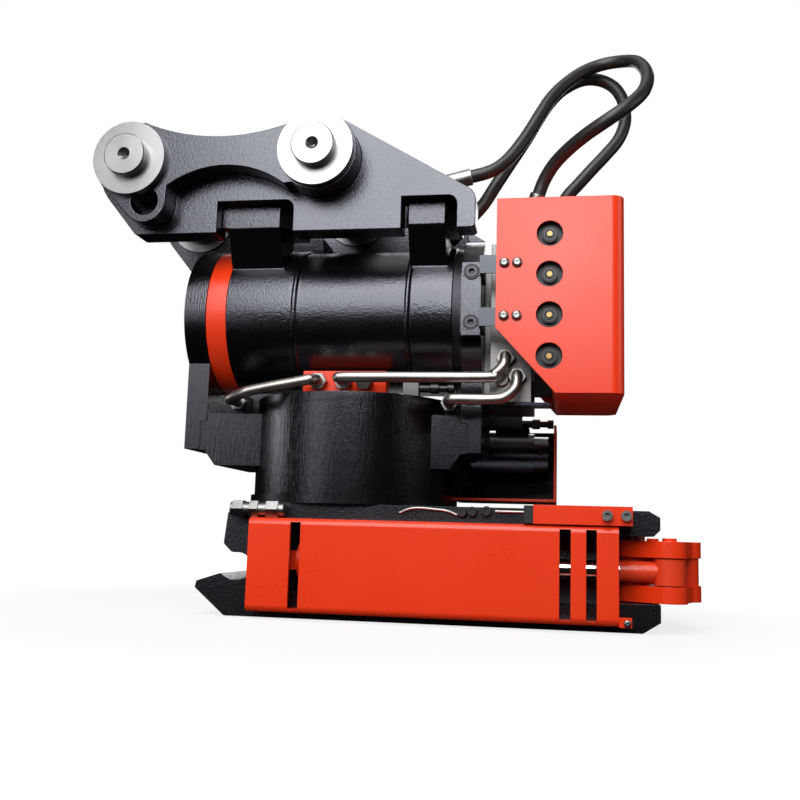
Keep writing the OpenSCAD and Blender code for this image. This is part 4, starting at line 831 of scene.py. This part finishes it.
PLAIN = {
    "pin_collars": pin_steel, "tilt_gland": shaft_steel, "thrust_ring": dark_steel,
    "tilt_piston": shaft_steel, "tilt_shaft": shaft_steel, "shaft_end_plate": black_paint,
    "socket_screws": black_oxide, "yoke_bolts": black_oxide, "slew_bushes": bronze, "worm_bearings": zinc,
    "manifold_shelf": brushed_black, "solenoid_valves": coil_plastic, "box_ferrules": zinc,
    "worm_shaft": drawn_steel, "slew_rotor": brushed_black, "worm_wheel": bronze, "slew_bolts": zinc,
    "guard_screws": zinc, "lock_cylinder": drawn_steel, "gripper_pins": drawn_steel,
    "lock_bolts": drawn_steel,
    "grip_barrel_near": red_paint, "grip_barrel_far": red_paint,
    "grip_rod_near": rod_chrome, "grip_rod_far": rod_chrome,
}
PLAIN.update({f"override_pin_{i}": brass for i in range(1, 5)})
for node, (finish, ease_mm) in EASED.items():
    eased(node, finish, ease_mm)
for node, finish in PLAIN.items():
    nodes[node].data.materials.clear()
    nodes[node].data.materials.append(finish)
print(len(EASED), "eased copies,", len(PLAIN), "solids with a finish only")

# %% [markdown]
# ## Floor
# The machine stands on a pale floor. Seen by the camera the floor glows nearly white, more so away from the
# machine, and still takes its shadow. In reflections it is dark, as if black flags stood round the set, so
# that black paint stays black underneath.

# %% Floor
FLOOR_M = 12.0
FLOOR_DROP_M = 0.001
FLOOR_SEEN = (0.50, 0.50, 0.50, 1)
FLOOR_IN_BOUNCE = (0.18, 0.18, 0.18, 1)
FLOOR_IN_GLOSS = 0.006
FLOOR_GLOW = 1.15
GLOW_NEAR = 0.70
SHADOW_M = (0.5, 1.4)
WHITE = (1, 1, 1, 1)
floor_mesh = bpy.data.meshes.new("floor")
half = FLOOR_M / 2
floor_z = float(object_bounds()[0][2]) - FLOOR_DROP_M
floor_mesh.from_pydata([(-half, -half, floor_z), (half, -half, floor_z), (half, half, floor_z),
                        (-half, half, floor_z)], [], [(0, 1, 2, 3)])
floor = bpy.data.objects.new("floor", floor_mesh)
bpy.context.scene.collection.objects.link(floor)
floor_finish, spot = new_finish("floor")
seen = spot.node("ShaderNodeLightPath", out="Is Camera Ray")
mirrored = spot.node("ShaderNodeLightPath", out="Is Glossy Ray")
matt = spot.node("ShaderNodeBsdfDiffuse", {}, {"Color": seen.blend(FLOOR_IN_BOUNCE, FLOOR_SEEN)})
shade = spot.node("ShaderNodeEmission", {}, {"Color": WHITE, "Strength": FLOOR_IN_GLOSS})
glow = spot.node("ShaderNodeEmission", {}, {"Color": WHITE, "Strength": FLOOR_GLOW})
lit = spot.node("ShaderNodeMixShader", {}, {0: mirrored, 1: matt, 2: shade})
distance = spot.node("ShaderNodeVectorMath", {"operation": "LENGTH"}, {0: spot}, "Value")
far_off = distance.clamp(*SHADOW_M)
glowing = seen * (GLOW_NEAR + (1.0 - GLOW_NEAR) * far_off)
mixed = spot.node("ShaderNodeMixShader", {}, {0: glowing, 1: lit, 2: glow})
spot.node("ShaderNodeOutputMaterial", {}, {"Surface": mixed})
floor_mesh.materials.append(floor_finish)
print("floor at", round(floor_z, 4), "m")

# %% [markdown]
# ## Room
# The room is white to the camera and gives a little even light. In reflections it is dark too, so the lamps
# alone decide what shines. One sum of the two ray masks gives all three levels.

# %% Room
ROOM_LIGHT = 0.12
ROOM_IN_GLOSS = 0.008
room = bpy.data.worlds.new("room")
bpy.context.scene.world = room
room.use_nodes = True
room.node_tree.nodes.clear()
air = Wire(room.node_tree)
to_eye = air.node("ShaderNodeLightPath", out="Is Camera Ray")
to_gloss = air.node("ShaderNodeLightPath", out="Is Glossy Ray")
level_of_light = ROOM_LIGHT + (1.0 - ROOM_LIGHT) * to_eye + (ROOM_IN_GLOSS - ROOM_LIGHT) * to_gloss
sky = air.node("ShaderNodeBackground", {}, {"Color": WHITE, "Strength": level_of_light})
air.node("ShaderNodeOutputWorld", {}, {"Surface": sky})
print("room light", ROOM_LIGHT)

# %% [markdown]
# ## Lamps
# What shines in the black paint is a big white card in front and a softbox above it: faces turned to the
# card go grey, and faces turned down stay black. A small lamp in front puts the pale sheen on the valve box,
# two more light the left end, and a card behind the machine does for the far side what the front card does
# for the near one. Each of them is a square area lamp, which gives a highlight with soft ends.


# %% Lamps
def lamp(name, place_m, aim_m, size_m, watts):
    """A square area lamp that faces a point."""
    data = bpy.data.lights.new(name, "AREA")
    data.size = size_m
    data.energy = watts
    lamp_object = bpy.data.objects.new(name, data)
    away = np.array(place_m, dtype=float) - np.array(aim_m, dtype=float)
    away /= np.linalg.norm(away)
    side = np.cross((0.0, 1.0, 0.0) if abs(away[1]) < NEARLY_ALONG else (1.0, 0.0, 0.0), away)
    side /= np.linalg.norm(side)
    turn = np.eye(4)
    turn[:3, :3] = np.stack([side, np.cross(away, side), away], axis=1)
    turn[:3, 3] = place_m
    lamp_object.matrix_world = Matrix(turn.tolist())
    lamp_object.visible_camera = False
    bpy.context.scene.collection.objects.link(lamp_object)


# For each lamp, its place, the point it faces and its size in metres, and its watts.
LAMPS = {
    "front_card": ((-0.2, -2.2, 1.75), (-0.05, -0.15, 0.45), 1.9, 60),
    "softbox": ((0.0, -0.95, 2.25), (0.0, 0.0, 0.45), 1.2, 20),
    "box_light": ((0.34, -1.75, 0.88), (0.30, -0.15, 0.43), 0.5, 2.2),
    "left_strip": ((-2.2, -0.2, 0.6), (0.0, 0.0, 0.3), 0.6, 3.6),
    "left_card": ((-1.3, -1.9, 0.62), (0.0, 0.0, 0.3), 0.8, 3.0),
    "back_card": ((0.2, 2.4, 1.7), (0.0, 0.1, 0.45), 1.9, 34),
    "top_light": ((0.1, 0.4, 2.4), (0.1, 0.0, 0.4), 1.2, 3),
    "side_light": ((2.0, -0.4, 1.0), (0.2, 0.0, 0.4), 0.9, 4),
}
for name, (place_m, aim_m, size_m, watts) in LAMPS.items():
    lamp(name, place_m, aim_m, size_m, watts)
bpy.context.scene.view_settings.view_transform = "Standard"
print(len(LAMPS), "lamps")

# %% Finish
print("scene built")
